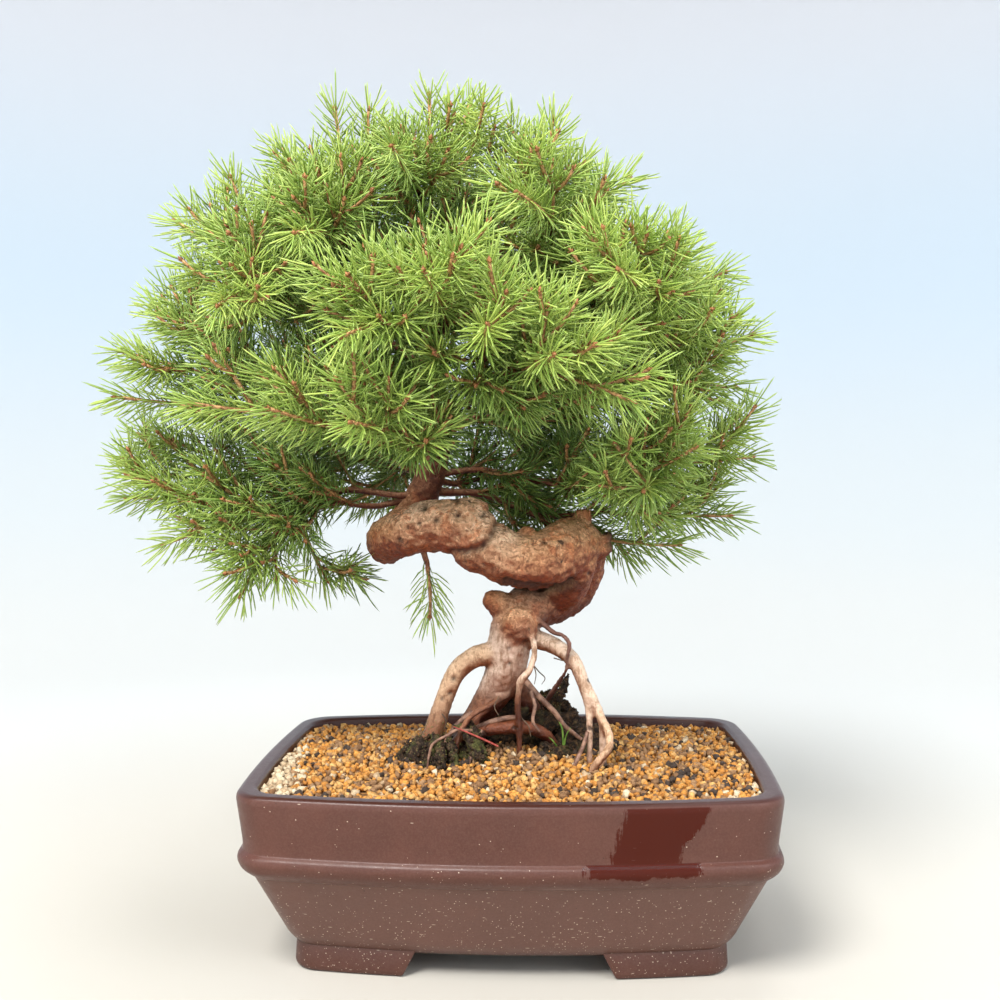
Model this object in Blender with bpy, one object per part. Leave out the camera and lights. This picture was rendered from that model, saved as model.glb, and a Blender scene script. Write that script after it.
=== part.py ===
"""Spruce bonsai with a coiled trunk, planted in an oblong unglazed pot on four feet. Metres, +Z up.

Everything is laid out round the pot's own centre at table height, with -Y towards the viewer. One empty
then carries all pieces, so that the origin ends up under the middle of the whole object's box.
"""
import math
import random

import bmesh
import bpy
import numpy as np
from mathutils import Matrix, Vector

MM = 0.001
GAP = 0.3 * MM  # between pieces that touch
UP = Vector((0, 0, 1))

# Pot: the outline is a rounded rectangle whose sides bow outwards
POT_LENGTH = 240 * MM
POT_WIDTH = 176 * MM
CORNER_RADIUS = 20.5 * MM
SMALLEST_CORNER = 9 * MM
END_BOW = 2.6 * MM
SIDE_BOW = 8.2 * MM
FLOOR_UNDERSIDE = 10.3 * MM
FLOOR_TOP = 18 * MM
CORNER_STEPS = 4
SIDE_STEPS = 5
END_STEPS = 2
# Inset from the widest outline, and height, both in mm, from the underside up the outside to the rim
OUTSIDE = (
    (24.5, 10.3), (22.6, 11.6), (19.4, 15.6), (5.6, 45.8), (4.2, 46.6), (1.3, 49.4), (0.0, 53.2),
    (0.5, 55.8), (2.3, 57.2), (2.2, 61.0), (0.0, 79.6), (0.5, 81.9), (2.0, 82.8),
)
# And from the rim down the inside to the floor
INSIDE = ((7.0, 82.8), (8.3, 81.6), (12.4, 50.0), (26.0, 20.5), (29.0, 18.0))
FOOT_OUTER = (96.5 * MM, 66.0 * MM)
FOOT_INNER_TOP = (40.0 * MM, 29.0 * MM)
FOOT_SLANT = 6.5 * MM
FOOT_CORNERS = (13 * MM, 5 * MM)
FOOT_EDGE = 1.2 * MM
FOOT_STEPS = (4, 2)  # on its large and its small corners
FOOT_SUNK = 2 * MM
DRAIN_X = 52 * MM
DRAIN_RADIUS = 9 * MM
DRAIN_SIDES = 16

# Drainage screens and the wire clips that hold them
SCREEN_SIDE = 31 * MM
SCREEN_THICKNESS = 1.0 * MM
SCREEN_HOLES = 4
SCREEN_BAR = 2.2 * MM
WIRE_RADIUS = 0.75 * MM
CLIP_FOOT = 13 * MM
CLIP_BEND = 1.6 * MM
WIRE_SIDES = 6

# Soil: granules larger than life, as one raised point to each cell of an uneven grid
SOIL_EDGE_LEVEL = 79.3 * MM
SOIL_MOUND = 5.5 * MM
MOUND_CENTRE = Vector((-2 * MM, 2 * MM))
MOUND_SPREAD = 42 * MM
GRANULE_PITCH = 11.4 * MM
GRANULE_RISE = 2.2 * MM
GRANULE_SHIFT = 0.22 * GRANULE_PITCH
GRANULE_TOPS = (0.4, 1.0)  # shares of the rise
GRANULE_DIP = 0.3
GRANULE_SEED = 7
SOIL_HEADROOM = 30 * MM
ROOT_CLEARANCE = 0.45 * MM
# Dark peat lumps beside the roots, as x, y, z of the middle and half sizes in mm, and a mossy peg
PEAT = ((22, 14, 92, 14, 9, 17), (29, 5, 85, 12, 9, 8), (10, 15, 86, 12, 9, 10), (-31, 2, 82, 12, 9, 8))
PEAT_DETAIL = 1
PEAT_UNEVEN = 0.10
PEG_SIDES = 8
PEAT_PEG = ((19, 9, 84, 4.0), (21, 6, 99, 3.4), (23, 5, 108, 3.0), (25, 4, 115, 2.2), (25.4, 4, 117, 1.2))

# Trunk, roots and stubs: x, y, z and radius of the wood along each, in mm
STEM = (
    (-33, 4, 69, 4.2), (-29, 4, 81, 5.0), (-23, 4, 91, 5.8), (-11, 2, 108, 7.8), (-3.5, 0, 123, 9.6),
    (-1, 0, 137, 10.8), (2.5, 2, 147, 11.3), (8, 8, 152, 11.6), (15, 16, 153.5, 12.0), (23, 24, 156, 12.6),
    (30, 28, 163, 13.2), (33, 22, 173.5, 13.4), (31, 9, 181.5, 13.6), (25, -5, 181, 14.0),
    (15, -13, 176.5, 14.0), (3, -16, 176.5, 13.4), (-9.6, -15, 182.5, 12.7), (-21.5, -12, 191, 13.4),
    (-34.5, -10, 193, 12.4), (-48, -6, 190.5, 11.9), (-58.5, 3, 186, 10.9), (-62.5, 16, 184, 10.3),
    (-60, 28.5, 187, 9.9), (-53, 35, 195.5, 9.4), (-47, 34, 205, 8.6),
)
LEADER = (
    (-53, 35, 195.5, 9.0), (-47, 34, 205, 8.4), (-42, 31, 216.5, 7.4), (-38, 28, 229, 6.4),
    (-36.5, 25, 244, 5.6), (-38, 22, 264, 4.7), (-39.5, 20, 288, 3.9), (-39, 18, 317, 3.0),
    (-39, 17, 340, 2.2),
)
ROOTS = (
    ((-2, 0, 131, 6.0), (-12, -3, 131, 5.6), (-20, -5, 128.5, 5.1), (-27, -6, 122, 4.7),
     (-32.5, -7, 109.5, 4.5), (-37.5, -8, 94, 4.8), (-41, -8, 84.5, 4.9), (-43, -8, 71, 3.2)),
    ((7, -4, 143, 2.0), (11, -12.5, 133, 2.1), (9, -15, 125.5, 2.1), (4, -15, 119, 2.2),
     (3, -14, 109, 2.3), (3.5, -12, 93, 2.1), (3.5, -11, 72, 1.5)),
    ((3, 0, 140, 5.0), (16, -4, 137, 4.5), (24, -8, 133.5, 4.1), (30, -11, 128, 3.9), (34.5, -13, 118, 3.4),
     (37.5, -14, 106, 2.5), (38, -16, 90, 2.1), (36.5, -16, 71, 1.5)),
    ((31, -11, 125, 3.0), (38.5, -14.5, 111.5, 2.7), (42.5, -16.5, 101, 2.5), (42.5, -17, 88, 2.3),
     (42, -17, 71, 1.7)),
    ((41, -17, 105, 1.9), (45, -21, 98, 2.0), (45, -25, 91, 2.0), (39, -27, 84, 1.9), (33, -27, 74, 1.4)),
    ((8, 1, 144, 2.3), (16, -5, 142.5, 2.2), (23, -9.5, 140, 2.1), (28, -15, 134, 1.9),
     (27, -15, 122, 1.8), (22, -11, 111, 1.8), (17, -6, 102, 1.8), (12, -1, 93, 1.7), (9, 2, 72, 1.3)),
    ((-1, 2, 124, 6.8), (4, 4, 111, 5.2), (12, 8, 101, 3.4), (20, 12, 95, 2.5), (28, 15, 88, 2.1),
     (34, 18, 73, 1.4)),
    ((-25, 3, 87, 3.0), (-19, -5, 92, 2.9), (-12, -9, 95.5, 3.1), (-3, -9, 97, 3.3), (6, -8, 97, 3.3),
     (13, -5, 94, 3.0), (19, -1, 88, 2.6), (24, 2, 74, 1.8)),
    ((-27, -17, 73, 1.4), (-26, -16, 90, 1.5), (-22.5, -15, 99, 1.5), (-17, -14, 105, 1.5),
     (-10, -11, 108, 1.6), (-2, -4, 112, 2.0)),
)
ROOT_STEPS = (2, 1, 2, 1, 1, 1, 1, 1, 1)
ROOT_SIDES = 6
STEM_SIDES = 9
LEADER_SIDES = 7
STUB_SIDES = 6
TRUNK_LUMPS = 0.03
STUBS = (
    ((30, 6, 184, 5.6), (33.5, 7, 193, 5.0), (34.5, 7, 198.5, 4.0), (34.5, 7, 200, 2.2)),
    ((40, 8, 183, 3.6), (47, 8, 186.5, 2.6), (48.6, 8, 186.8, 1.5)),
    ((42, 6, 178, 3.2), (47.5, 6, 181.5, 2.2), (48.6, 6, 181.8, 1.2)),
    ((6, -9, 183, 5.0), (8, -8, 189, 4.2), (8.4, -8, 191.2, 2.2)),
    ((3, 4, 147, 9.0), (-5, 1, 154, 7.2), (-11, -1, 157.4, 4.8), (-13.4, -1.6, 158.6, 2.6)),
    ((-24, -10, 198, 8.6), (-17, -10, 202, 7.4), (-12.5, -10, 201, 5.2), (-10.5, -10, 199, 2.6)),
    ((2, -4, 146, 9.0), (4, -7, 144.5, 8.6), (5, -10, 143, 6.4), (5.4, -11.6, 142.4, 3.4)),
)

# Limbs: where each leaves the wood (a height on the leader, or a point), its radius, how far it arches
# as a share of its length, and the tips of the sprays that it carries, the limb's own end first, in mm
LIMBS = (
    (206, 2.6, -0.02, ((-201, 20, 206), (-204, 38, 226))),
    (203, 2.3, 0.10, ((-180, 14, 182), (-135, -8, 156), (-92, 20, 158))),
    ((-42, -8, 184), 1.9, -0.10, ((-38, -10, 144),)),
    (208, 2.8, -0.06, ((114, 25, 195), (86, 5, 181), (62, 32, 173))),
    (216, 2.3, -0.03, ((124, 22, 225), (86, -55, 230), (60, -66, 210))),
    (224, 2.8, 0.02, ((-59, -116, 240), (-96, -104, 246), (-138, -74, 250))),
    (232, 2.9, 0.02, ((-201, 15, 281), (-197, -4, 256), (-190, 36, 309))),
    (240, 3.2, -0.03, ((123, 15, 286), (116, 24, 260), (92, -56, 290))),
    (250, 2.6, 0.03, ((23, -119, 265), (-4, -124, 277), (56, -98, 246))),
    (268, 2.4, -0.04, ((-173, 20, 347), (-139, 3, 366), (-117, -94, 287))),
    (274, 2.3, -0.04, ((109, 10, 315), (84, 17, 338), (47, -100, 300))),
    (258, 2.3, 0.04, ((-28, -124, 298), (-62, -122, 272))),
    (298, 2.0, -0.06, ((-117, 15, 382), (-87, 8, 400), (-86, -90, 317))),
    (304, 2.0, -0.06, ((63, 20, 364), (24, 8, 393), (6, -86, 334))),
    (322, 1.9, -0.06, ((-19, 32, 409), (-48, -72, 358), (-8, -34, 387))),
)
LEADER_TIP = (-39, 12, 407)
# Back of the crown, which the photograph hides: rows of tips on a rounded envelope
CROWN_CENTRE = (-40, 18, 262)
CROWN_HALF = (164, 132, 148)
BACK_ROWS = ((-14, 4, 214), (14, 4, 246), (44, 3, 292))  # rise in degrees, tips, height on the leader
BACK_FIRST, BACK_LAST = 26, 154  # degrees round from +X
BACK_STAGGER = 6
BACK_LIMB_RADIUS = 2.3
BACK_LIFT = -0.03
BACK_SPACING = 8  # between a row's two limbs on the leader, mm
FORK_PLACES = (0.45, 0.75)  # where a limb's other boughs leave it, as shares of its wood
FORK_STEP = 3 * MM
FORK_CURVE = (0.2, 0.3)  # shares of the span: straight towards the tip, and on along the limb
BENDS = (0.09, -0.09, 0.0, 0.16, -0.16, 0.24, -0.24, 0.32, -0.32)  # sideways, as shares of the span
LEADER_ROOM = 4.0 * MM
WOOD_ROOM = 1.5 * MM
TWIG_FOOT = 1.6
TWIG_RADIUS = 1.15 * MM
LIMB_SIDES = 5
TWIG_SIDES = 3
KEPT_POINTS = 4  # one in so many of a limb's points shapes its wood
SPRAY_GAP = 0.55 * MM  # between the end of the wood and the foot of its spray
TIP_INSET = 6.5 * MM  # the needles at the end of a spray reach this far past its wood

# Sprays: three-sided cores that carry whorls of three-sided needles
SPRAY_LENGTH = 56 * MM
SHORTEST_WOOD = 12 * MM
CORE_RADIUS = 0.95 * MM
CORE_TIP_RADIUS = 0.7 * MM
WHORL_HEIGHT = 1.4 * MM
BUD_LENGTH = 2.2 * MM
NEEDLE_LENGTH = 12 * MM
NEEDLE_RADIUS = 0.55 * MM
NEEDLE_SPREAD = (0.92, 1.08)
NEEDLE_SEED = 500
NEEDLE_LEANS = (58, 50, 24)  # degrees from the shoot: at its foot, near its end, on its bud
NEEDLE_TRIES = ((0, 0), (18, 0), (-18, 0), (0, -14), (18, -14), (-18, -14))  # turned round, tilted, degrees
KEEP_CLEAR = 0.4 * MM
LEADER_WHORLS = (0.20, 0.56, 0.97)  # places along the shoot, as shares
SIDE_WHORLS = (0.93,)
SIDE_SHOOTS = ((0, 36), (0, 35), (1, 31))  # which whorl of the leader each grows from, length in mm
SIDE_TURNS = (10, 190, 90)  # degrees round the leader, from level
SIDE_FOOT = 4.5 * MM  # a side shoot's foot isn't kept clear of the other shoots of its whorl
SIDE_TRIES = (0, 25, -25, 50, -50, 75, -75, 110, -110)
SIDE_TIGHTEST = 2.5 * MM
SIDE_ANGLE = 52
SIDE_SPREAD = 15  # degrees
SIDE_LENGTHS = (0.9, 1.08)  # the shortest and longest, as shares of the length above
SIDE_CURVE = (0.86, 0.16)  # shares of the length: at that angle, and along the leader
SIDE_STEPS_EACH = 4
SIDE_SEED = 100

SMOOTH_BELOW = 35  # degrees

BARK = ("bark", (0.30, 0.16, 0.10), 0.85)
CERAMIC = ("unglazed ceramic", (0.20, 0.10, 0.085), 0.6)
GRANULES = ("granules", (0.60, 0.36, 0.14), 0.95)
FOLIAGE = ("spruce needles", (0.16, 0.32, 0.05), 0.6)
PLASTIC = ("screen plastic", (0.03, 0.03, 0.03), 0.5)
WIRE = ("aluminium wire", (0.30, 0.18, 0.12), 0.4)


def clear_scene():
    for old in list(bpy.data.objects):
        bpy.data.objects.remove(old, do_unlink=True)


def material(look):
    name, colour, roughness = look
    made = bpy.data.materials.get(name)
    if made is None:
        made = bpy.data.materials.new(name)
        made.use_nodes = True
        shader = made.node_tree.nodes["Principled BSDF"]
        shader.inputs["Base Color"].default_value = (*colour, 1)
        shader.inputs["Roughness"].default_value = roughness
    return made


def add_object(name, mesh):
    made = bpy.data.objects.new(name, mesh)
    bpy.context.scene.collection.objects.link(made)
    return made


def mesh_from(name, points, faces):
    mesh = bpy.data.meshes.new(name)
    mesh.from_pydata([tuple(p) for p in points], [], faces)
    mesh.validate()
    return mesh


def combine(base, others, operation):
    """Joins or cuts base with all the others in one Boolean on a collection, applies it, removes them."""
    group = bpy.data.collections.new("operands")
    bpy.context.scene.collection.children.link(group)
    for other in others:
        bpy.context.scene.collection.objects.unlink(other)
        group.objects.link(other)
    change = base.modifiers.new("combine", "BOOLEAN")
    change.operation = operation
    change.solver = "MANIFOLD"
    change.operand_type = "COLLECTION"
    change.collection = group
    graph = bpy.context.evaluated_depsgraph_get()
    mesh = bpy.data.meshes.new_from_object(base.evaluated_get(graph))
    base.modifiers.clear()
    base.data = mesh
    for other in others:
        bpy.data.objects.remove(other, do_unlink=True)
    bpy.data.collections.remove(group)
    return base


def keep_largest(piece):
    """Drops the loose scraps that a Boolean leaves beside the main body."""
    work = bmesh.new()
    work.from_mesh(piece.data)
    unseen = set(work.faces)
    bodies = []
    while unseen:
        waiting = [unseen.pop()]
        body = []
        while waiting:
            face = waiting.pop()
            body.append(face)
            for edge in face.edges:
                for other in edge.link_faces:
                    if other in unseen:
                        unseen.discard(other)
                        waiting.append(other)
        bodies.append(body)
    largest = max(bodies, key=len)
    loose = [face for body in bodies if body is not largest for face in body]
    bmesh.ops.delete(work, geom=loose, context="FACES")
    work.to_mesh(piece.data)
    work.free()


# Rings and lofts


def pot_outline(inset):
    """The pot's outline, drawn in by inset: four arcs and the points between them, then bowed."""
    half_x = POT_LENGTH / 2 - END_BOW - inset
    half_y = POT_WIDTH / 2 - SIDE_BOW - inset
    radius = max(CORNER_RADIUS - inset, SMALLEST_CORNER)
    signs = ((1, 1), (-1, 1), (-1, -1), (1, -1))
    arcs = []
    for quarter, (sign_x, sign_y) in enumerate(signs):
        turns = [math.radians(90 * (quarter + step / CORNER_STEPS)) for step in range(CORNER_STEPS + 1)]
        arcs.append([Vector((sign_x * (half_x - radius) + radius * math.cos(turn),
                             sign_y * (half_y - radius) + radius * math.sin(turn))) for turn in turns])
    outline = []
    for quarter, arc in enumerate(arcs):
        steps = SIDE_STEPS if quarter % 2 == 0 else END_STEPS
        following = arcs[(quarter + 1) % 4][0]
        outline += arc + [arc[-1].lerp(following, step / steps) for step in range(1, steps)]
    return [Vector((p.x * (1 + END_BOW * (1 - (p.y / half_y) ** 2) / half_x),
                    p.y * (1 + SIDE_BOW * (1 - (p.x / half_x) ** 2) / half_y))) for p in outline]


def loft(name, rings):
    """A closed body through rings of equal count that run anticlockwise, from the lowest on."""
    count = len(rings[0])
    points = [point for ring in rings for point in ring]
    faces = [tuple(reversed(range(count)))]
    for level in range(len(rings) - 1):
        low, high = level * count, (level + 1) * count
        for k in range(count):
            after = (k + 1) % count
            faces.append((low + k, low + after, high + after, high + k))
    last = (len(rings) - 1) * count
    faces.append(tuple(range(last, last + count)))
    return add_object(name, mesh_from(name, points, faces))


def smooth_through(points, steps):
    """Points along a smooth curve through the given ones, each (x, y, z, radius)."""
    given = np.array(points, float)
    padded = np.vstack([2 * given[0] - given[1], given, 2 * given[-1] - given[-2]])
    curve = []
    for k in range(len(given) - 1):
        before, start, end, after = padded[k:k + 4]
        for step in range(steps):
            t = step / steps
            curve.append(0.5 * (2 * start + (end - before) * t
                                + (2 * before - 5 * start + 4 * end - after) * t ** 2
                                + (3 * start - before - 3 * end + after) * t ** 3))
    curve.append(given[-1])
    return np.array(curve)


def turning_frames(path):
    """Tangent, and two sideways directions that turn as little as they can, at each point of a path."""
    tangents = [(path[min(k + 1, len(path) - 1)] - path[max(k - 1, 0)]).normalized()
                for k in range(len(path))]
    side = tangents[0].orthogonal().normalized()
    frames = []
    for tangent in tangents:
        side = (side - tangent * side.dot(tangent)).normalized()
        frames.append((tangent, side, tangent.cross(side)))
    return frames


def wood(name, points, sides, steps=2, lumps=0.0, extra=0.0):
    """A closed tube of wood; lumps is how uneven it is, extra makes the cutter of its hole."""
    curve = smooth_through(points, steps) * MM
    path = [Vector(row[:3]) for row in curve]
    rings = []
    for k, (centre, (_, side, other)) in enumerate(zip(path, turning_frames(path))):
        ring = []
        for corner in range(sides):
            turn = 2 * math.pi * corner / sides
            uneven = math.sin(2 * turn + 0.9 * k) + 0.8 * math.sin(3 * turn - 0.55 * k + 1)
            radius = curve[k][3] * (1 + lumps * uneven) + extra
            ring.append(centre + side * radius * math.cos(turn) + other * radius * math.sin(turn))
        rings.append(ring)
    for ring, outward in ((rings[0], path[0] - path[1]), (rings[-1], path[-1] - path[-2])):
        for corner in range(sides):
            ring[corner] = ring[corner] + outward.normalized() * extra
    return loft(name, rings)


# Pot


def foot(sign_x, sign_y):
    rings = []
    levels = ((0, FOOT_EDGE), (FOOT_EDGE, 0), (FLOOR_UNDERSIDE + FOOT_SUNK, 0))
    for height, edge in levels:
        slant = FOOT_SLANT * (1 - height / FLOOR_UNDERSIDE)
        inner_x, inner_y = FOOT_INNER_TOP[0] + slant + edge, FOOT_INNER_TOP[1] + slant + edge
        outer_x, outer_y = FOOT_OUTER[0] - edge, FOOT_OUTER[1] - edge
        large, small = FOOT_CORNERS
        corners = ((outer_x, outer_y, 1, 1, large), (inner_x, outer_y, -1, 1, small),
                   (inner_x, inner_y, -1, -1, small), (outer_x, inner_y, 1, -1, small))
        ring = []
        for quarter, (x, y, out_x, out_y, radius) in enumerate(corners):
            steps = FOOT_STEPS[0 if radius == large else 1]
            for step in range(steps + 1):
                turn = math.radians(90 * (quarter + step / steps))
                ring.append(Vector((sign_x * (x - out_x * radius + radius * math.cos(turn)),
                                    sign_y * (y - out_y * radius + radius * math.sin(turn)), height)))
        rings.append(ring if sign_x * sign_y > 0 else ring[::-1])
    return loft("foot", rings)


def cylinder(name, centre, radius, bottom, top, sides):
    rings = []
    for height in (bottom, top):
        turns = [2 * math.pi * k / sides for k in range(sides)]
        rings.append([Vector((centre[0] + radius * math.cos(a), centre[1] + radius * math.sin(a), height))
                      for a in turns])
    return loft(name, rings)


def level_ring(inset, height):
    return [point.to_3d() + UP * height for point in pot_outline(inset)]


def make_pot():
    body = loft("pot", [level_ring(inset * MM, height * MM) for inset, height in OUTSIDE + INSIDE])
    combine(body, [foot(x, y) for x in (-1, 1) for y in (-1, 1)], "UNION")
    holes = [cylinder("drain", (x, 0), DRAIN_RADIUS, 0, 2 * FLOOR_TOP, DRAIN_SIDES)
             for x in (-DRAIN_X, DRAIN_X)]
    combine(body, holes, "DIFFERENCE")
    body.data.materials.append(material(CERAMIC))
    return body


# Drainage screens and clips, hidden under the soil


def box(name, low, high):
    corners = [(low[0], low[1]), (high[0], low[1]), (high[0], high[1]), (low[0], high[1])]
    return loft(name, [[Vector((x, y, z)) for x, y in corners] for z in (low[2], high[2])])


def make_screen(name, x):
    half = SCREEN_SIDE / 2
    base = FLOOR_TOP + GAP
    top = base + SCREEN_THICKNESS
    plate = box(name, (x - half, -half, base), (x + half, half, top))
    pitch = (SCREEN_SIDE - SCREEN_BAR) / SCREEN_HOLES
    cutters = []
    for column in range(SCREEN_HOLES):
        for row in range(SCREEN_HOLES):
            left = x - half + SCREEN_BAR + column * pitch
            front = -half + SCREEN_BAR + row * pitch
            wide = pitch - SCREEN_BAR
            cutters.append(box("opening", (left, front, base - MM), (left + wide, front + wide, top + MM)))
    combine(plate, cutters, "DIFFERENCE")
    plate.data.materials.append(material(PLASTIC))
    return plate


def make_clip(name, x):
    """Soft wire: its back lies on the screen, its legs go down the drain hole and turn out below."""
    leg = (SCREEN_SIDE - SCREEN_BAR) / SCREEN_HOLES / 2
    above = FLOOR_TOP + 2 * GAP + SCREEN_THICKNESS + WIRE_RADIUS
    below = FLOOR_UNDERSIDE - GAP - WIRE_RADIUS
    half = [(leg - CLIP_BEND, above), (leg, above - CLIP_BEND), (leg, below + CLIP_BEND),
            (leg + CLIP_BEND, below), (CLIP_FOOT, below)]
    run = [(-a, z) for a, z in reversed(half)] + half
    points = [((x + a) / MM, leg / MM, z / MM, WIRE_RADIUS / MM) for a, z in run]
    wire = wood(name, points, WIRE_SIDES, steps=1)
    wire.data.materials.append(material(WIRE))
    return wire


# Soil


def soil_level(x, y):
    away = (Vector((x, y)) - MOUND_CENTRE).length / MOUND_SPREAD
    return SOIL_EDGE_LEVEL + SOIL_MOUND * math.exp(-away ** 2)


def granule_block():
    """A block whose top is an uneven grid, with a raised point in each cell."""
    draw = random.Random(GRANULE_SEED)
    across = round(POT_LENGTH / GRANULE_PITCH)
    deep = round(POT_WIDTH / GRANULE_PITCH)
    points = []
    for row in range(deep + 1):
        for column in range(across + 1):
            x = (column - across / 2) * GRANULE_PITCH + draw.uniform(-GRANULE_SHIFT, GRANULE_SHIFT)
            y = (row - deep / 2) * GRANULE_PITCH + draw.uniform(-GRANULE_SHIFT, GRANULE_SHIFT)
            points.append(Vector((x, y, soil_level(x, y) - draw.uniform(0, GRANULE_DIP) * GRANULE_RISE)))
    faces = []
    for row in range(deep):
        for column in range(across):
            first = row * (across + 1) + column
            cell = (first, first + 1, first + across + 2, first + across + 1)
            middle = sum((points[k] for k in cell), Vector()) / 4
            middle.z = soil_level(middle.x, middle.y) + draw.uniform(*GRANULE_TOPS) * GRANULE_RISE
            points.append(middle)
            faces += [(cell[k], cell[(k + 1) % 4], len(points) - 1) for k in range(4)]
    width = across + 1
    rim = (list(range(across)) + [row * width + across for row in range(deep)]
           + [deep * width + column for column in range(across, 0, -1)]
           + [row * width for row in range(deep, 0, -1)])
    base = len(points)
    points += [Vector((points[k].x, points[k].y, 0)) for k in rim]
    for k in range(len(rim)):
        after = (k + 1) % len(rim)
        faces.append((rim[k], base + k, base + after, rim[after]))
    faces.append(tuple(base + k for k in reversed(range(len(rim)))))
    return add_object("soil", mesh_from("soil", points, faces))


def peat_lump(x, y, z, half_x, half_y, half_z):
    work = bmesh.new()
    bmesh.ops.create_icosphere(work, subdivisions=PEAT_DETAIL, radius=1)
    for vertex in work.verts:
        rough = 1 + PEAT_UNEVEN * math.sin(7 * vertex.co.x + 3 * vertex.co.z) * math.cos(6 * vertex.co.y)
        vertex.co = Vector((x + half_x * rough * vertex.co.x, y + half_y * rough * vertex.co.y,
                            z + half_z * rough * vertex.co.z)) * MM
    mesh = bpy.data.meshes.new("peat")
    work.to_mesh(mesh)
    work.free()
    return add_object("peat", mesh)


def make_soil():
    block = granule_block()
    filling = [level_ring(inset * MM + GAP, height * MM + GAP) for inset, height in reversed(INSIDE[1:])]
    filling.append([point + UP * SOIL_HEADROOM for point in filling[-1]])
    combine(block, [loft("filling", filling)], "INTERSECT")
    combine(block, [peat_lump(*lump) for lump in PEAT] + [wood("peg", PEAT_PEG, PEG_SIDES)], "UNION")
    cutters = [wood("stem_hole", STEM[:6], STEM_SIDES, lumps=TRUNK_LUMPS, extra=ROOT_CLEARANCE)]
    cutters += [wood("root_hole", root, ROOT_SIDES, steps, extra=ROOT_CLEARANCE)
                for root, steps in zip(ROOTS, ROOT_STEPS)]
    reach = SCREEN_SIDE / 2 + GAP
    room = FLOOR_TOP + SCREEN_THICKNESS + 2 * WIRE_RADIUS + 4 * GAP
    cutters += [box("screen_room", (x - reach, -reach, 0), (x + reach, reach, room))
                for x in (-DRAIN_X, DRAIN_X)]
    combine(block, cutters, "DIFFERENCE")
    keep_largest(block)
    block.data.materials.append(material(GRANULES))
    return block


# Crown: where the boughs run, and what each keeps clear of


class Thicket:
    """The capsules of wood or needles placed so far, so that nothing new is put through them."""

    def __init__(self):
        self.rows = []
        self.table = None

    def add(self, owner, path, radius, shoot=0):
        for start, end in zip(path, path[1:]):
            self.rows.append((*start, *end, radius, owner, shoot))
        self.table = None

    def room(self, path, radius, owner=None, shoot=None):
        """The least distance left between a new path of that radius and what others have placed."""
        if not self.rows:
            return 1.0
        if self.table is None:
            self.table = np.array(self.rows)
        own = self.table[:, 7] == owner
        if shoot is not None:
            own &= self.table[:, 8] == shoot
        rows = self.table[~own]
        if not len(rows):
            return 1.0
        least = 1.0
        for start, end in zip(path, path[1:]):
            along, others = np.array(end - start), rows[:, 3:6] - rows[:, :3]
            between = np.array(start) - rows[:, :3]
            a, b, c = along @ along, others @ along, (others * others).sum(1)
            f, g = between @ along, (others * between).sum(1)
            s = np.clip((b * g - c * f) / np.maximum(a * c - b * b, 1e-18), 0, 1)
            t = np.clip((b * s + g) / np.maximum(c, 1e-18), 0, 1)
            s = np.clip((b * t - f) / a, 0, 1)
            apart = between + s[:, None] * along - t[:, None] * others
            least = min(least, float((np.sqrt((apart * apart).sum(1)) - rows[:, 6]).min()) - radius)
        return least


def arch(start, control, end, count=12):
    shares = [k / count for k in range(count + 1)]
    return [start * (1 - t) ** 2 + control * 2 * t * (1 - t) + end * t ** 2 for t in shares]


def path_length(path):
    return sum((b - a).length for a, b in zip(path, path[1:]))


def cut_path(path, length):
    """The path up to that length along it, and the rest; both hold the point between them."""
    run = 0
    for k in range(len(path) - 1):
        step = (path[k + 1] - path[k]).length
        if run + step > length:
            middle = path[k].lerp(path[k + 1], (length - run) / step)
            return path[:k + 1] + [middle], [middle] + path[k + 1:]
        run += step
    return path, [path[-1]]


def leader_point(height):
    nearest = min(smooth_through(LEADER, 6), key=lambda row: abs(row[2] - height))
    return Vector(nearest[:3]) * MM


def back_limbs():
    """Limbs for the hidden side: rows of tips on the crown's rounded envelope, two limbs to a row."""
    made = []
    for rise, count, height in BACK_ROWS:
        tips = []
        for k in range(count):
            turn = math.radians(BACK_FIRST + (BACK_LAST - BACK_FIRST) * (k + 0.5) / count)
            level = math.radians(rise + (BACK_STAGGER if k % 2 else -BACK_STAGGER))
            around = (math.cos(level) * math.cos(turn), math.cos(level) * math.sin(turn), math.sin(level))
            tips.append(tuple(c + h * a for c, h, a in zip(CROWN_CENTRE, CROWN_HALF, around)))
        half = (count + 1) // 2
        made.append((height, BACK_LIMB_RADIUS, BACK_LIFT, tuple(tips[:half])))
        made.append((height + BACK_SPACING, BACK_LIMB_RADIUS, BACK_LIFT, tuple(tips[half:])))
    return tuple(made)


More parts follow.
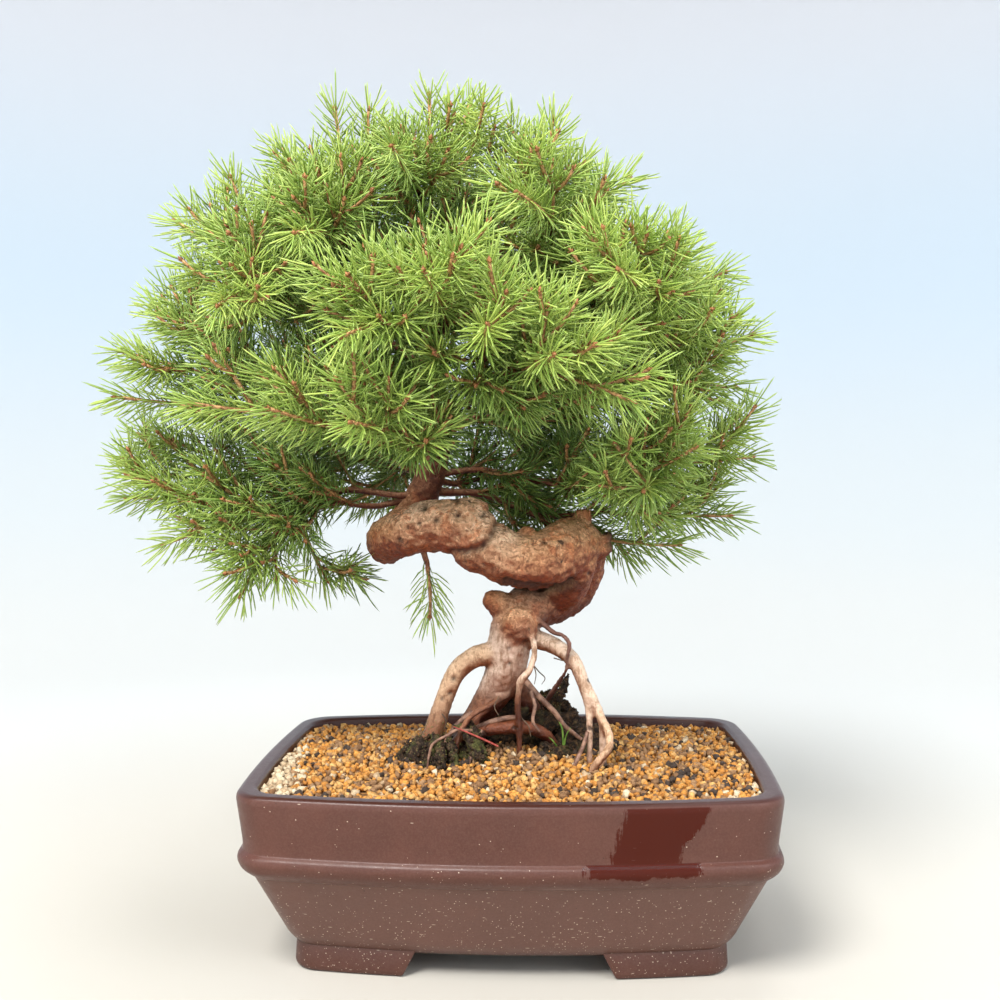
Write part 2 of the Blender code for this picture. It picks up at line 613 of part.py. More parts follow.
def lay_boughs():
    """(wood path, its radius, spray path) of each bough; each is bent clear of those before it."""
    trunk, sprays = Thicket(), Thicket()
    for table in (STEM, LEADER, *ROOTS, *STUBS):
        for a, b in zip(table, table[1:]):
            trunk.add(0, [Vector(a[:3]) * MM, Vector(b[:3]) * MM], max(a[3], b[3]) * MM)
    boughs = []
    for origin, radius, lift, tips in LIMBS + back_limbs():
        root = leader_point(origin) if isinstance(origin, (int, float)) else Vector(origin) * MM
        limb = None
        for order, tip in enumerate(tips):
            start = root
            if limb:
                run = path_length(limb) * FORK_PLACES[order - 1]
                start = cut_path(limb, run)[1][0]
                onward = (cut_path(limb, run + FORK_STEP)[1][0] - start).normalized()
            end = Vector(tip) * MM
            end -= (end - start).normalized() * TIP_INSET
            span = (end - start).length
            across = (end - start).cross(UP).normalized()
            best = None
            for bend in BENDS:
                control = start.lerp(end, FORK_CURVE[0] if limb else 0.5)
                if limb:
                    control += onward * span * FORK_CURVE[1]
                control = control + UP * span * lift + across * span * (bend if order % 2 else -bend)
                path = arch(start, control, end)
                length = path_length(path)
                wood_part, _ = cut_path(path, max(length - SPRAY_LENGTH, SHORTEST_WOOD))
                _, spray = cut_path(path, max(length - SPRAY_LENGTH, SHORTEST_WOOD) + SPRAY_GAP)
                room = min(sprays.room(spray, LEADER_ROOM), trunk.room(spray, WOOD_ROOM),
                           sprays.room(wood_part, WOOD_ROOM), 0)
                if best is None or room > best[0]:
                    best = (room, wood_part, spray)
                if room == 0:
                    break
            _, wood_part, spray = best
            foot_radius = (TWIG_FOOT if limb else radius) * MM
            boughs.append((wood_part, foot_radius, spray))
            for k, pair in enumerate(zip(wood_part[1:], wood_part[2:])):
                share = k / len(wood_part)
                trunk.add(0, pair, foot_radius + (TWIG_RADIUS - foot_radius) * share)
            sprays.add(len(boughs) - 1, spray, CORE_RADIUS)
            limb = limb or wood_part
    top, tip = Vector(LEADER[-1][:3]) * MM, Vector(LEADER_TIP) * MM - UP * TIP_INSET
    wood_part, _ = cut_path([top, tip], (tip - top).length - SPRAY_LENGTH)
    _, spray = cut_path([top, tip], (tip - top).length - SPRAY_LENGTH + SPRAY_GAP)
    boughs.append((wood_part, LEADER[-1][3] * MM, spray))
    trunk.add(0, wood_part, TWIG_RADIUS)
    sprays.add(len(boughs) - 1, spray, CORE_RADIUS)
    return boughs, trunk, sprays


def lay_side_shoots(boughs, trunk, sprays):
    """The (whorl, path) of each spray's side shoots, turned round their leader until they are clear."""
    made = []
    for number, (_, _, leader) in enumerate(boughs):
        draw = random.Random(SIDE_SEED + number)
        shoots = []
        for order, (place, length) in enumerate(SIDE_SHOOTS):
            run = path_length(leader) * LEADER_WHORLS[place] - WHORL_HEIGHT / 2
            start = cut_path(leader, run)[1][0]
            onward = (cut_path(leader, run + FORK_STEP)[1][0] - start).normalized()
            level = onward.cross(UP) if abs(onward.z) < 0.9 else onward.cross(Vector((1, 0, 0)))
            level.normalize()
            first = SIDE_TURNS[order] + (180 if number % 2 else 0) + draw.uniform(-SIDE_SPREAD, SIDE_SPREAD)
            reach = length * MM * draw.uniform(*SIDE_LENGTHS)
            best = None
            for turn in SIDE_TRIES:
                sideways = Matrix.Rotation(math.radians(first + turn), 3, onward) @ level
                lean = math.radians(SIDE_ANGLE)
                away = onward * math.cos(lean) + sideways * math.sin(lean)
                end = start + away * reach * SIDE_CURVE[0] + onward * reach * SIDE_CURVE[1]
                shoot = arch(start, start + away * reach / 2, end, SIDE_STEPS_EACH)
                beyond = cut_path(shoot, SIDE_FOOT)[1]
                room = min(sprays.room(beyond, LEADER_ROOM, number, 0), 0)
                if trunk.room(beyond, WOOD_ROOM) < 0:
                    room = -LEADER_ROOM
                if best is None or room > best[0]:
                    best = (room, shoot)
                if room == 0:
                    break
            if best[0] > -SIDE_TIGHTEST:
                shoots.append((place, best[1]))
                sprays.add(number, cut_path(best[1], SIDE_FOOT)[1], CORE_RADIUS, len(shoots))
        made.append(shoots)
    return made


# Sprays


def grow_shoot(points, faces, path, whorls, foot, draw):
    """Adds a slim three-sided shoot, with a short band of six faces at each whorl and three faces to its bud.

    foot is the triangle of another shoot that it grows out of. It returns, for each whorl and last for the
    bud, rows of (face, centre, tangent, lean): the faces to draw out, which aren't added here.
    """
    length = path_length(path)
    stations = [0.0] + [run for place in whorls for run in (length * place - WHORL_HEIGHT, length * place)]
    centres, tangents = [], []
    for run in stations:
        here, before = cut_path(path, run)[1], cut_path(path, max(run - MM, 0))[1]
        centres.append(here[0])
        tangents.append(((here[1] if len(here) > 1 else path[-1]) - before[0]).normalized())
    if foot:
        side = points[foot[0]] - centres[0]
    else:
        side = Matrix.Rotation(draw.uniform(0, 2 * math.pi), 3, tangents[0]) @ tangents[0].orthogonal()
    rings = [foot] if foot else []
    for k, (centre, tangent) in enumerate(zip(centres, tangents)):
        side = (side - tangent * side.dot(tangent)).normalized()
        if foot and k == 0:
            continue
        radius = CORE_RADIUS + (CORE_TIP_RADIUS - CORE_RADIUS) * stations[k] / length
        turns = [math.radians(120 * corner + 60 * k) for corner in range(3)]
        rings.append(tuple(range(len(points), len(points) + 3)))
        points.extend(centre + Matrix.Rotation(turn, 3, tangent) @ side * radius for turn in turns)
    if not foot:
        faces.append(tuple(reversed(rings[0])))
    drawn = []
    for k in range(len(rings) - 1):
        low, high = rings[k], rings[k + 1]
        band = []
        for corner in range(3):
            after = (corner + 1) % 3
            band += [(low[corner], low[after], high[corner]), (low[after], high[after], high[corner])]
        if k % 2:
            lean = NEEDLE_LEANS[0] + (NEEDLE_LEANS[1] - NEEDLE_LEANS[0]) * stations[k] / length
            drawn.append([(face, centres[k], tangents[k], lean) for face in band])
        else:
            faces += band
    points.append(centres[-1] + tangents[-1] * BUD_LENGTH)
    last = rings[-1]
    drawn.append([((last[corner], last[(corner + 1) % 3], len(points) - 1), centres[-1], tangents[-1],
                   NEEDLE_LEANS[2]) for corner in range(3)])
    return drawn


def middle_and_way(points, face, centre, tangent):
    """The middle of a face, and the way it looks out from its shoot."""
    middle = sum((points[k] for k in face), Vector()) / 3
    outward = middle - centre
    return middle, (outward - tangent * outward.dot(tangent)).normalized()


def draw_needles(points, faces, rows, owner, shoot, crowd, trunk, draw):
    """Draws each face out to a needle's tip, where one can stand clear, and leaves it flat elsewhere."""
    for face, centre, tangent, lean in rows:
        middle, outward = middle_and_way(points, face, centre, tangent)
        reach = NEEDLE_LENGTH * draw.uniform(*NEEDLE_SPREAD)
        for turn, tilt in NEEDLE_TRIES:
            around = Matrix.Rotation(math.radians(turn), 3, tangent) @ outward
            angle = math.radians(lean + tilt)
            tip = middle + (tangent * math.cos(angle) + around * math.sin(angle)) * reach
            needle = [middle, tip]
            room = min(crowd.room(needle, NEEDLE_RADIUS, owner, shoot), trunk.room(needle, NEEDLE_RADIUS))
            if room > KEEP_CLEAR:
                crowd.add(owner, needle, NEEDLE_RADIUS, shoot)
                points.append(tip)
                faces += [(face[k], face[(k + 1) % 3], len(points) - 1) for k in range(3)]
                break
        else:
            faces.append(face)


def make_sprays(boughs, trunk, crowd):
    side_shoots = lay_side_shoots(boughs, trunk, crowd)
    made = []
    for number, (_, _, leader) in enumerate(boughs):
        draw = random.Random(NEEDLE_SEED + number)
        points, faces = [], []
        whorls = grow_shoot(points, faces, leader, LEADER_WHORLS, None, draw)
        shoots = []
        for place, path in side_shoots[number]:
            away = path[1] - path[0]
            chosen = max(whorls[place], key=lambda row: middle_and_way(points, *row[:3])[1].dot(away))
            whorls[place].remove(chosen)
            middle, _ = middle_and_way(points, *chosen[:3])
            shoots.append(grow_shoot(points, faces, [middle, *path[1:]], SIDE_WHORLS, chosen[0], draw))
        for shoot, rows in enumerate([whorls] + shoots):
            for whorl in rows:
                draw_needles(points, faces, whorl, number, shoot, crowd, trunk, draw)
        spray = add_object(f"spray_{number + 1:02d}", mesh_from("spray", points, faces))
        spray.data.materials.append(material(FOLIAGE))
        made.append(spray)
    return made


def make_trunk(boughs):
    """All the wood in one piece: coiled stem, leader, roots, cut stubs, limbs and twigs."""
    stem = wood("trunk", STEM, STEM_SIDES, lumps=TRUNK_LUMPS)
    parts = [wood("leader", LEADER, LEADER_SIDES, lumps=TRUNK_LUMPS)]
    parts += [wood("root", root, ROOT_SIDES, steps) for root, steps in zip(ROOTS, ROOT_STEPS)]
    parts += [wood("stub", stub, STUB_SIDES, steps=1) for stub in STUBS]
    for path, foot_radius, _ in boughs:
        sides = LIMB_SIDES if foot_radius > TWIG_FOOT * MM else TWIG_SIDES
        kept = [path[0], *path[1:-1][::KEPT_POINTS], path[-1]]
        rows = [(*(point / MM), (foot_radius + (TWIG_RADIUS - foot_radius) * k / (len(kept) - 1)) / MM)
                for k, point in enumerate(kept)]
        parts.append(wood("limb", rows, sides, steps=1))
    combine(stem, parts, "UNION")
    keep_largest(stem)
    stem.data.materials.append(material(BARK))
    return stem


def main():
    clear_scene()
    boughs, trunk_room, crowd = lay_boughs()
    pieces = [make_pot(), make_soil(), make_trunk(boughs)]
    for side, x in (("left", -DRAIN_X), ("right", DRAIN_X)):
        pieces += [make_screen(f"drain_screen_{side}", x), make_clip(f"screen_clip_{side}", x)]
    pieces += make_sprays(boughs, trunk_room, crowd)
    corners = np.array([vertex.co for piece in pieces for vertex in piece.data.vertices])
    low, high = corners.min(axis=0), corners.max(axis=0)
    frame = bpy.data.objects.new("bonsai", None)
    bpy.context.scene.collection.objects.link(frame)
    frame.location = (-(low[0] + high[0]) / 2, -(low[1] + high[1]) / 2, -low[2])
    for piece in pieces:
        piece.parent = frame
        if piece.name in ("pot", "soil", "trunk"):
            piece.data.shade_smooth()
            piece.data.set_sharp_from_angle(angle=math.radians(SMOOTH_BELOW))
    print("pot centre in the object's frame:", [round(value, 5) for value in frame.location])


main()
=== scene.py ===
"""Looks of a potted spruce bonsai with a coiled trunk. Metres, +Z up, front towards -Y."""
import math

import bpy
import numpy as np
from mathutils import Matrix, Vector
from mathutils.bvhtree import BVHTree
from mathutils.kdtree import KDTree


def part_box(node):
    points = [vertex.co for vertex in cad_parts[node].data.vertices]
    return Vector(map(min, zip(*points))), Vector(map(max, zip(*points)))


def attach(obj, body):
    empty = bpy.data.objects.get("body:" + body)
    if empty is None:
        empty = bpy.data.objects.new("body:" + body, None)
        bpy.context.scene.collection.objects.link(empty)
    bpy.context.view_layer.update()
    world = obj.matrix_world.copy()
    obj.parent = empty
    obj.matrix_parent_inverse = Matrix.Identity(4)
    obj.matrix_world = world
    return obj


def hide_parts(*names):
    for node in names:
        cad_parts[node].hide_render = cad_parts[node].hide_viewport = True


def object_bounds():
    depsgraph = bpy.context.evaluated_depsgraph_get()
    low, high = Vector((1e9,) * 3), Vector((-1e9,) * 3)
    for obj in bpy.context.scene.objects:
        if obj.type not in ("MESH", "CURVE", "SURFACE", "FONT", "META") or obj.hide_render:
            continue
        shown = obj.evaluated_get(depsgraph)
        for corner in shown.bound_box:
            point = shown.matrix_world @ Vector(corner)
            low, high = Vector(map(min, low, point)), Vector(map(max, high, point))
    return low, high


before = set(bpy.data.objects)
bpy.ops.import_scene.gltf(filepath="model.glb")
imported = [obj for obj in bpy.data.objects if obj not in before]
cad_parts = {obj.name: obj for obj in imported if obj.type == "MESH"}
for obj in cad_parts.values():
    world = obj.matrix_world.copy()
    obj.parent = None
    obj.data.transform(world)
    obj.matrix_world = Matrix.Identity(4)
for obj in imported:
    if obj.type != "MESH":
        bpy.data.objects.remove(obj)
cad_box = [list(corner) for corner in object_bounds()]
bpy.ops.object.select_all(action="DESELECT")
MM = 0.001


# Pot
# A bonsai pot of unglazed stoneware, pressed in a mould: walls that lean out, a rounded band round them, a
# broad rim and four low feet. The clay is purple-brown, with pale grit and short fibres that show more
# towards the feet, and a splash has left a dark wet patch on its front.

pot_low, pot_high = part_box("pot")
pot_middle = Vector(((pot_low.x + pot_high.x) / 2, (pot_low.y + pot_high.y) / 2, 0))
POT_LENGTH = pot_high.x - pot_low.x
POT_WIDTH = pot_high.y - pot_low.y
POT_CORNER, SMALLEST_CORNER, CORNER_STEPS = 20.5 * MM, 9 * MM, 9
END_BOW, SIDE_BOW = 2.6 * MM, 8.2 * MM
END_CUTS, SIDE_CUTS = 9, 17
# Inset from the widest outline, height and rounding, from the underside up the wall, over the rim, and down
POT_SECTION = (
    (24.5, 10.3, 0), (22.6, 11.6, 1.2), (19.4, 15.6, 3), (5.6, 45.8, 0.5), (4.2, 46.6, 0.4), (1.3, 49.4, 2),
    (0.0, 53.2, 2.4), (0.5, 55.8, 1.2), (2.3, 57.2, 0.5), (2.2, 61.0, 2), (0.0, 79.6, 1.6), (0.5, 81.9, 0.8),
    (2.0, 82.8, 0.8), (7.0, 82.8, 1.0), (8.3, 81.6, 1.2), (12.4, 50.0, 6), (26.0, 20.5, 4), (29.0, 18.0, 0),
)
ROUND_STEPS = 4
# Inset, height and rounding of the feet's outer faces; half of each gap between them at its top, along and
# across; how much further it reaches at the floor; how high the feet are; and their soft edges
FOOT_SECTION = ((23.6, 0, 0), (22.4, 0.8, 0.5), (22.0, 2.4, 0.4), (22.6, 12.3, 0))
FOOT_GAPS = (40 * MM, 29 * MM)
FOOT_SLANT, FOOT_TOP, FOOT_EDGE = 6.5 * MM, 12.3 * MM, 1.3 * MM
DRAIN_X, DRAIN_RADIUS, DRAIN_CUT = 52 * MM, 9 * MM, 40 * MM
SMOOTH_BELOW = math.radians(35)


def in_edit_mode(select, *steps):
    """Selects the vertices, edges or faces that select names, and runs edit-mode steps on them."""
    kind, wanted = select
    mesh = bpy.context.object.data
    bpy.ops.object.mode_set(mode="EDIT")
    bpy.ops.mesh.select_mode(type=kind)
    bpy.ops.mesh.select_all(action="DESELECT")
    bpy.ops.object.mode_set(mode="OBJECT")
    for part in {"VERT": mesh.vertices, "EDGE": mesh.edges, "FACE": mesh.polygons}[kind]:
        part.select = wanted(part)
    bpy.ops.object.mode_set(mode="EDIT")
    for step in steps:
        step()
    bpy.ops.object.mode_set(mode="OBJECT")


def settle(piece):
    """Puts a piece's place, turn and size into its mesh."""
    bpy.ops.object.select_all(action="DESELECT")
    piece.select_set(True)
    bpy.context.view_layer.objects.active = piece
    bpy.ops.object.transform_apply(location=True, rotation=True, scale=True)


def apply_modifiers(piece):
    bpy.ops.object.select_all(action="DESELECT")
    piece.select_set(True)
    bpy.context.view_layer.objects.active = piece
    for change in list(piece.modifiers):
        bpy.ops.object.modifier_apply(modifier=change.name)


def rounded(section):
    """The section's points in metres, with each corner that has a rounding turned into an arc."""
    points = [Vector(row[:2]) * MM for row in section]
    drawn = [points[0]]
    for k in range(1, len(section) - 1):
        here, before, after = points[k], points[k - 1], points[k + 1]
        reach = min(section[k][2] * MM, 0.45 * (before - here).length, 0.45 * (after - here).length)
        start = here + (before - here).normalized() * reach
        end = here + (after - here).normalized() * reach
        for step in range(ROUND_STEPS + 1):
            t = step / ROUND_STEPS
            drawn.append(start * (1 - t) ** 2 + here * 2 * t * (1 - t) + end * t ** 2)
    return drawn + [points[-1]]


def outline_plate(name, inset, height):
    """A flat plate in the pot's outline, drawn in by inset: rounded corners, and sides that bow outwards."""
    half = Vector((POT_LENGTH / 2 - END_BOW - inset, POT_WIDTH / 2 - SIDE_BOW - inset, 1))
    bpy.ops.mesh.primitive_plane_add(size=2)
    plate = bpy.context.object
    plate.name = name
    plate.scale = half
    settle(plate)
    corner = max(POT_CORNER - inset, SMALLEST_CORNER)
    in_edit_mode(("VERT", lambda vertex: True),
                 lambda: bpy.ops.mesh.bevel(offset=corner, segments=CORNER_STEPS, affect="VERTICES"))
    points = plate.data.vertices

    def straight(edge, axis):
        run = points[edge.vertices[1]].co - points[edge.vertices[0]].co
        return abs(run[axis]) > POT_CORNER and abs(run[1 - axis]) < MM

    for axis, cuts in ((0, SIDE_CUTS), (1, END_CUTS)):
        in_edit_mode(("EDGE", lambda edge: straight(edge, axis)),
                     lambda: bpy.ops.mesh.subdivide(number_cuts=cuts))
    for vertex in plate.data.vertices:
        x, y = vertex.co.x, vertex.co.y
        vertex.co.x = x * (1 + END_BOW * (1 - (y / half.y) ** 2) / half.x) + pot_middle.x
        vertex.co.y = y * (1 + SIDE_BOW * (1 - (x / half.x) ** 2) / half.y) + pot_middle.y
        vertex.co.z = height
    return plate


def draw_up(plate, section):
    """Extrudes a plate ring by ring through a section of insets and heights."""
    half_x, half_y = POT_LENGTH / 2, POT_WIDTH / 2

    def rings():
        for before, after in zip(section, section[1:]):
            bpy.ops.mesh.extrude_region_move(TRANSFORM_OT_translate={"value": (0, 0, after.y - before.y)})
            wider = ((half_x - after.x) / (half_x - before.x), (half_y - after.x) / (half_y - before.x), 1)
            bpy.ops.transform.resize(value=wider, center_override=(pot_middle.x, pot_middle.y, after.y))

    in_edit_mode(("FACE", lambda face: True), rings)
    in_edit_mode(("FACE", lambda face: True), lambda: bpy.ops.mesh.normals_make_consistent(inside=False))


def foot_gap(axis):
    """A long block that parts the feet, wider at the floor than at its top."""
    bpy.ops.mesh.primitive_cube_add(size=2)
    block = bpy.context.object
    half = [POT_LENGTH, POT_LENGTH, FOOT_TOP]
    half[axis] = FOOT_GAPS[axis]
    block.scale = half
    block.location = pot_middle
    settle(block)
    spread = [1, 1, 1]
    spread[axis] = 1 + 2 * FOOT_SLANT / FOOT_GAPS[axis]
    in_edit_mode(("VERT", lambda vertex: vertex.co.z < 0),
                 lambda: bpy.ops.transform.resize(value=spread, center_override=tuple(pot_middle)))
    return block


def pot_feet():
    """Four feet whose outer faces carry on the wall, cut from one low slab by the two gaps between them."""
    outline = rounded(FOOT_SECTION)
    feet = outline_plate("feet", outline[0].x, outline[0].y)
    draw_up(feet, outline)
    combined(feet, [foot_gap(0), foot_gap(1)], "DIFFERENCE")
    soft = feet.modifiers.new("soft edges", "BEVEL")
    soft.width = FOOT_EDGE
    soft.segments = 2
    soft.angle_limit = SMOOTH_BELOW
    apply_modifiers(feet)
    return feet


def combined(base, others, operation):
    """Joins or cuts base with each of the others, and removes them."""
    for other in others:
        change = base.modifiers.new("combine", "BOOLEAN")
        change.operation = operation
        change.object = other
    apply_modifiers(base)
    for other in others:
        bpy.data.objects.remove(other, do_unlink=True)


def drain_cutter(x):
    bpy.ops.mesh.primitive_cylinder_add(vertices=32, radius=DRAIN_RADIUS, depth=DRAIN_CUT,
                                        location=pot_middle + Vector((x, 0, DRAIN_CUT / 2)))
    return bpy.context.object


def finish(name, roughness):
    """A new material: its node tree, its shader and its point in object space."""
    made = bpy.data.materials.new(name)
    made.use_nodes = True
    shader = made.node_tree.nodes["Principled BSDF"]
    shader.inputs["Roughness"].default_value = roughness
    place = made.node_tree.nodes.new("ShaderNodeTexCoord").outputs["Object"]
    return made, made.node_tree, shader, place


def node(tree, kind, inputs, output=0, **settings):
    """Adds a shader node, gives its sockets values or other nodes' outputs, and returns one of its outputs."""
    made = tree.nodes.new("ShaderNode" + kind)
    for name, value in settings.items():
        setattr(made, name, value)
    for socket, value in inputs.items():
        if isinstance(value, bpy.types.NodeSocket):
            tree.links.new(value, made.inputs[socket])
        else:
            made.inputs[socket].default_value = value
    return made.outputs[output]


def mixed(tree, share, first, second):
    """Two colours mixed by a share; either may be a colour or an output."""
    first, second = ((*c, 1) if isinstance(c, tuple) else c for c in (first, second))
    return node(tree, "Mix", {0: share, 6: first, 7: second}, 2, data_type="RGBA")


def ramp(tree, value, low, high, to_low=0.0, to_high=1.0):
    """A value from low to high, turned smoothly into one from to_low to to_high."""
    return node(tree, "MapRange", {0: value, 1: low, 2: high, 3: to_low, 4: to_high},
                interpolation_type="SMOOTHSTEP")


def times(tree, first, second):
    return node(tree, "Math", {0: first, 1: second}, operation="MULTIPLY")


def larger(tree, first, second):
    return node(tree, "Math", {0: first, 1: second}, operation="MAXIMUM")


def minus(tree, first, second):
    return node(tree, "Math", {0: first, 1: second}, operation="SUBTRACT")


def swayed(tree, base, pattern, reach):
    """A value moved by a pattern, up to reach."""
    return node(tree, "Math", {0: pattern, 1: reach, 2: base}, operation="MULTIPLY_ADD")


def noise(tree, place, scale, detail=4, roughness=0.6):
    return node(tree, "TexNoise", {"Vector": place, "Scale": scale, "Detail": detail, "Roughness": roughness})


def cells(tree, place, scale, feature="F1"):
    """The outputs of a pattern of uneven cells."""
    return node(tree, "TexVoronoi", {"Vector": place, "Scale": scale}, feature=feature).node.outputs


def stretched(tree, place, scale, turn=(0, 0, 0)):
    return node(tree, "Mapping", {"Vector": place, "Rotation": turn, "Scale": scale})


def effect(name, given, made):
    """A node group for an effect that several materials share, with the sockets at its two ends."""
    group = bpy.data.node_groups.new(name, "ShaderNodeTree")
    for way, sockets in (("INPUT", given), ("OUTPUT", made)):
        for socket, kind in sockets.items():
            group.interface.new_socket(name=socket, in_out=way, socket_type="NodeSocket" + kind)
    return group, group.nodes.new("NodeGroupInput").outputs, group.nodes.new("NodeGroupOutput").inputs


def scattered_flecks():
    """Small spots of uneven size, one in some of the cells of a pattern: Share of the cells has one."""
    group, given, made = effect("scattered flecks", {"Place": "Vector", "Scale": "Float", "Size": "Float",
                                                     "Share": "Float"}, {"Mask": "Float"})
    spots = cells(group, given["Place"], given["Scale"])
    apart = node(group, "SeparateColor", {0: spots["Color"]}).node.outputs
    uneven = node(group, "MapRange", {0: apart["Green"], 3: 0.35, 4: 1.0})
    size = times(group, given["Size"], uneven)
    near = ramp(group, spots["Distance"], size, times(group, size, 0.5))
    chosen = node(group, "Math", {0: apart["Red"], 1: given["Share"]}, operation="LESS_THAN")
    group.links.new(times(group, near, chosen), made["Mask"])
    return group


def mottling():
    """Two shades of a material in cloudy patches, and a finer grain for its relief."""
    group, given, made = effect("mottling", {"Place": "Vector", "Scale": "Float", "Dark": "Color",
                                             "Pale": "Color"}, {"Colour": "Color", "Grain": "Float"})
    share = ramp(group, noise(group, given["Place"], given["Scale"]), 0.35, 0.65)
    group.links.new(mixed(group, share, given["Dark"], given["Pale"]), made["Colour"])
    group.links.new(noise(group, given["Place"], times(group, given["Scale"], 3.5), 3), made["Grain"])
    return group


def flecks(tree, place, scale, size, share):
    return node(tree, "Group", {"Place": place, "Scale": scale, "Size": size, "Share": share},
                node_tree=FLECKS)


def mottled(tree, place, scale, dark, pale):
    """Colour and grain of a mottled material."""
    outputs = node(tree, "Group", {"Place": place, "Scale": scale, "Dark": (*dark, 1), "Pale": (*pale, 1)},
                   node_tree=MOTTLING).node.outputs
    return outputs["Colour"], outputs["Grain"]


def bumped(tree, shader, height, depth, strength=1.0):
    """Raises the surface by a height pattern, depth metres high."""
    normal = node(tree, "Bump", {"Height": height, "Distance": depth, "Strength": strength})
    tree.links.new(normal, shader.inputs["Normal"])


FLECKS, MOTTLING = scattered_flecks(), mottling()
CLAY, CLAY_DARK, CLAY_PALE = (0.089, 0.0275, 0.0172), (0.073, 0.0220, 0.0138), (0.235, 0.135, 0.105)
# The dark colour is that of the clay's dark specks, and also of the painted shade on the feet
GRIT, DARK_SPECKS_AND_SHADE = (0.60, 0.47, 0.36), (0.03, 0.012, 0.008)
WET_CLAY, DAMP_CLAY = (0.055, 0.0075, 0.0035), (0.040, 0.0105, 0.0085)
# Small grit and two ways of fibres: how the pattern is stretched and turned, its scale, and their size in it
GRIT_AND_FIBRES = (
    ((1, 1, 1), (0.4, 0.2, 0.7), 760, 0.27), ((0.24, 1, 1.3), (0, 0.5, 0), 470, 0.135),
    ((0.20, 1, 1.4), (0, -0.7, 0.3), 420, 0.125),
)
# The splash, mm from the pot's middle: its left and right edge on the wall, each at the band and at the rim,
# and its ends on the band
WET_WALL, WET_BAND = ((43, 49.5), (70, 84)), (33, 80)
# Its lowest edge, the neck over the band, its highest edge, how soft it is, and how far its outline strays
WET_LOW, NECK, WET_HIGH, WET_EDGE = 52.2 * MM, 57.5 * MM, 81.2 * MM, 1.1 * MM
STREAK_SWAY, BLOT_SWAY, BLOT_RISE = 13 * MM, 11 * MM, 8 * MM
DAMP_RIM = 82.3 * MM


def damp_inside(tree, place, height):
    """Where the clay is damp from the soil: the inner wall and the top of the rim."""
    off = node(tree, "VectorMath", {0: place, 1: pot_middle}, operation="SUBTRACT")
    off = node(tree, "VectorMath", {0: off, 1: (1, 1, 0)}, operation="MULTIPLY")
    facing = node(tree, "VectorMath", {0: off, 1: node(tree, "NewGeometry", {}, "Normal")}, "Value",
                  operation="DOT_PRODUCT")
    damp = larger(tree, ramp(tree, facing, 0, -6 * MM), ramp(tree, height, DAMP_RIM - MM, DAMP_RIM))
    return times(tree, damp, ramp(tree, height, 60 * MM, 70 * MM, 0, 0.7))


def splash(tree, place, x, y, height):
    """Where the front is wet: a run down the wall with brushed edges, and a pool on the band."""
    streaks = noise(tree, stretched(tree, place, (1.6, 1, 0.16), (0, 0.42, 0)), 520, 5, 0.8)
    blots = noise(tree, place, 110, 4, 0.65)
    across = swayed(tree, swayed(tree, x, streaks, STREAK_SWAY), blots, BLOT_SWAY)
    across = minus(tree, across, pot_middle.x + (STREAK_SWAY + BLOT_SWAY) / 2)
    upward = minus(tree, swayed(tree, height, blots, BLOT_RISE), BLOT_RISE / 2)
    on_wall = ramp(tree, height, NECK - 0.4 * MM, NECK + 0.4 * MM)
    for side, (below, above) in zip((1, -1), WET_WALL):
        past = minus(tree, across, ramp(tree, height, NECK, WET_HIGH, below * MM, above * MM))
        on_wall = times(tree, on_wall, ramp(tree, past, -WET_EDGE * side, WET_EDGE * side))
    on_band = times(tree, ramp(tree, across, WET_BAND[0] * MM, (WET_BAND[0] + 1) * MM),
                    ramp(tree, across, WET_BAND[1] * MM, (WET_BAND[1] - 1) * MM))
    on_band = times(tree, on_band, ramp(tree, upward, WET_LOW - 0.5 * MM, WET_LOW + 0.5 * MM))
    on_band = times(tree, on_band, ramp(tree, height, NECK + 0.4 * MM, NECK - 0.4 * MM))
    wet = node(tree, "Math", {0: on_wall, 1: on_band}, operation="ADD")
    wet = times(tree, wet, ramp(tree, y, pot_low.y + 13 * MM, pot_low.y + 10 * MM))
    return times(tree, wet, ramp(tree, height, WET_HIGH + 0.4 * MM, WET_HIGH - 0.4 * MM))


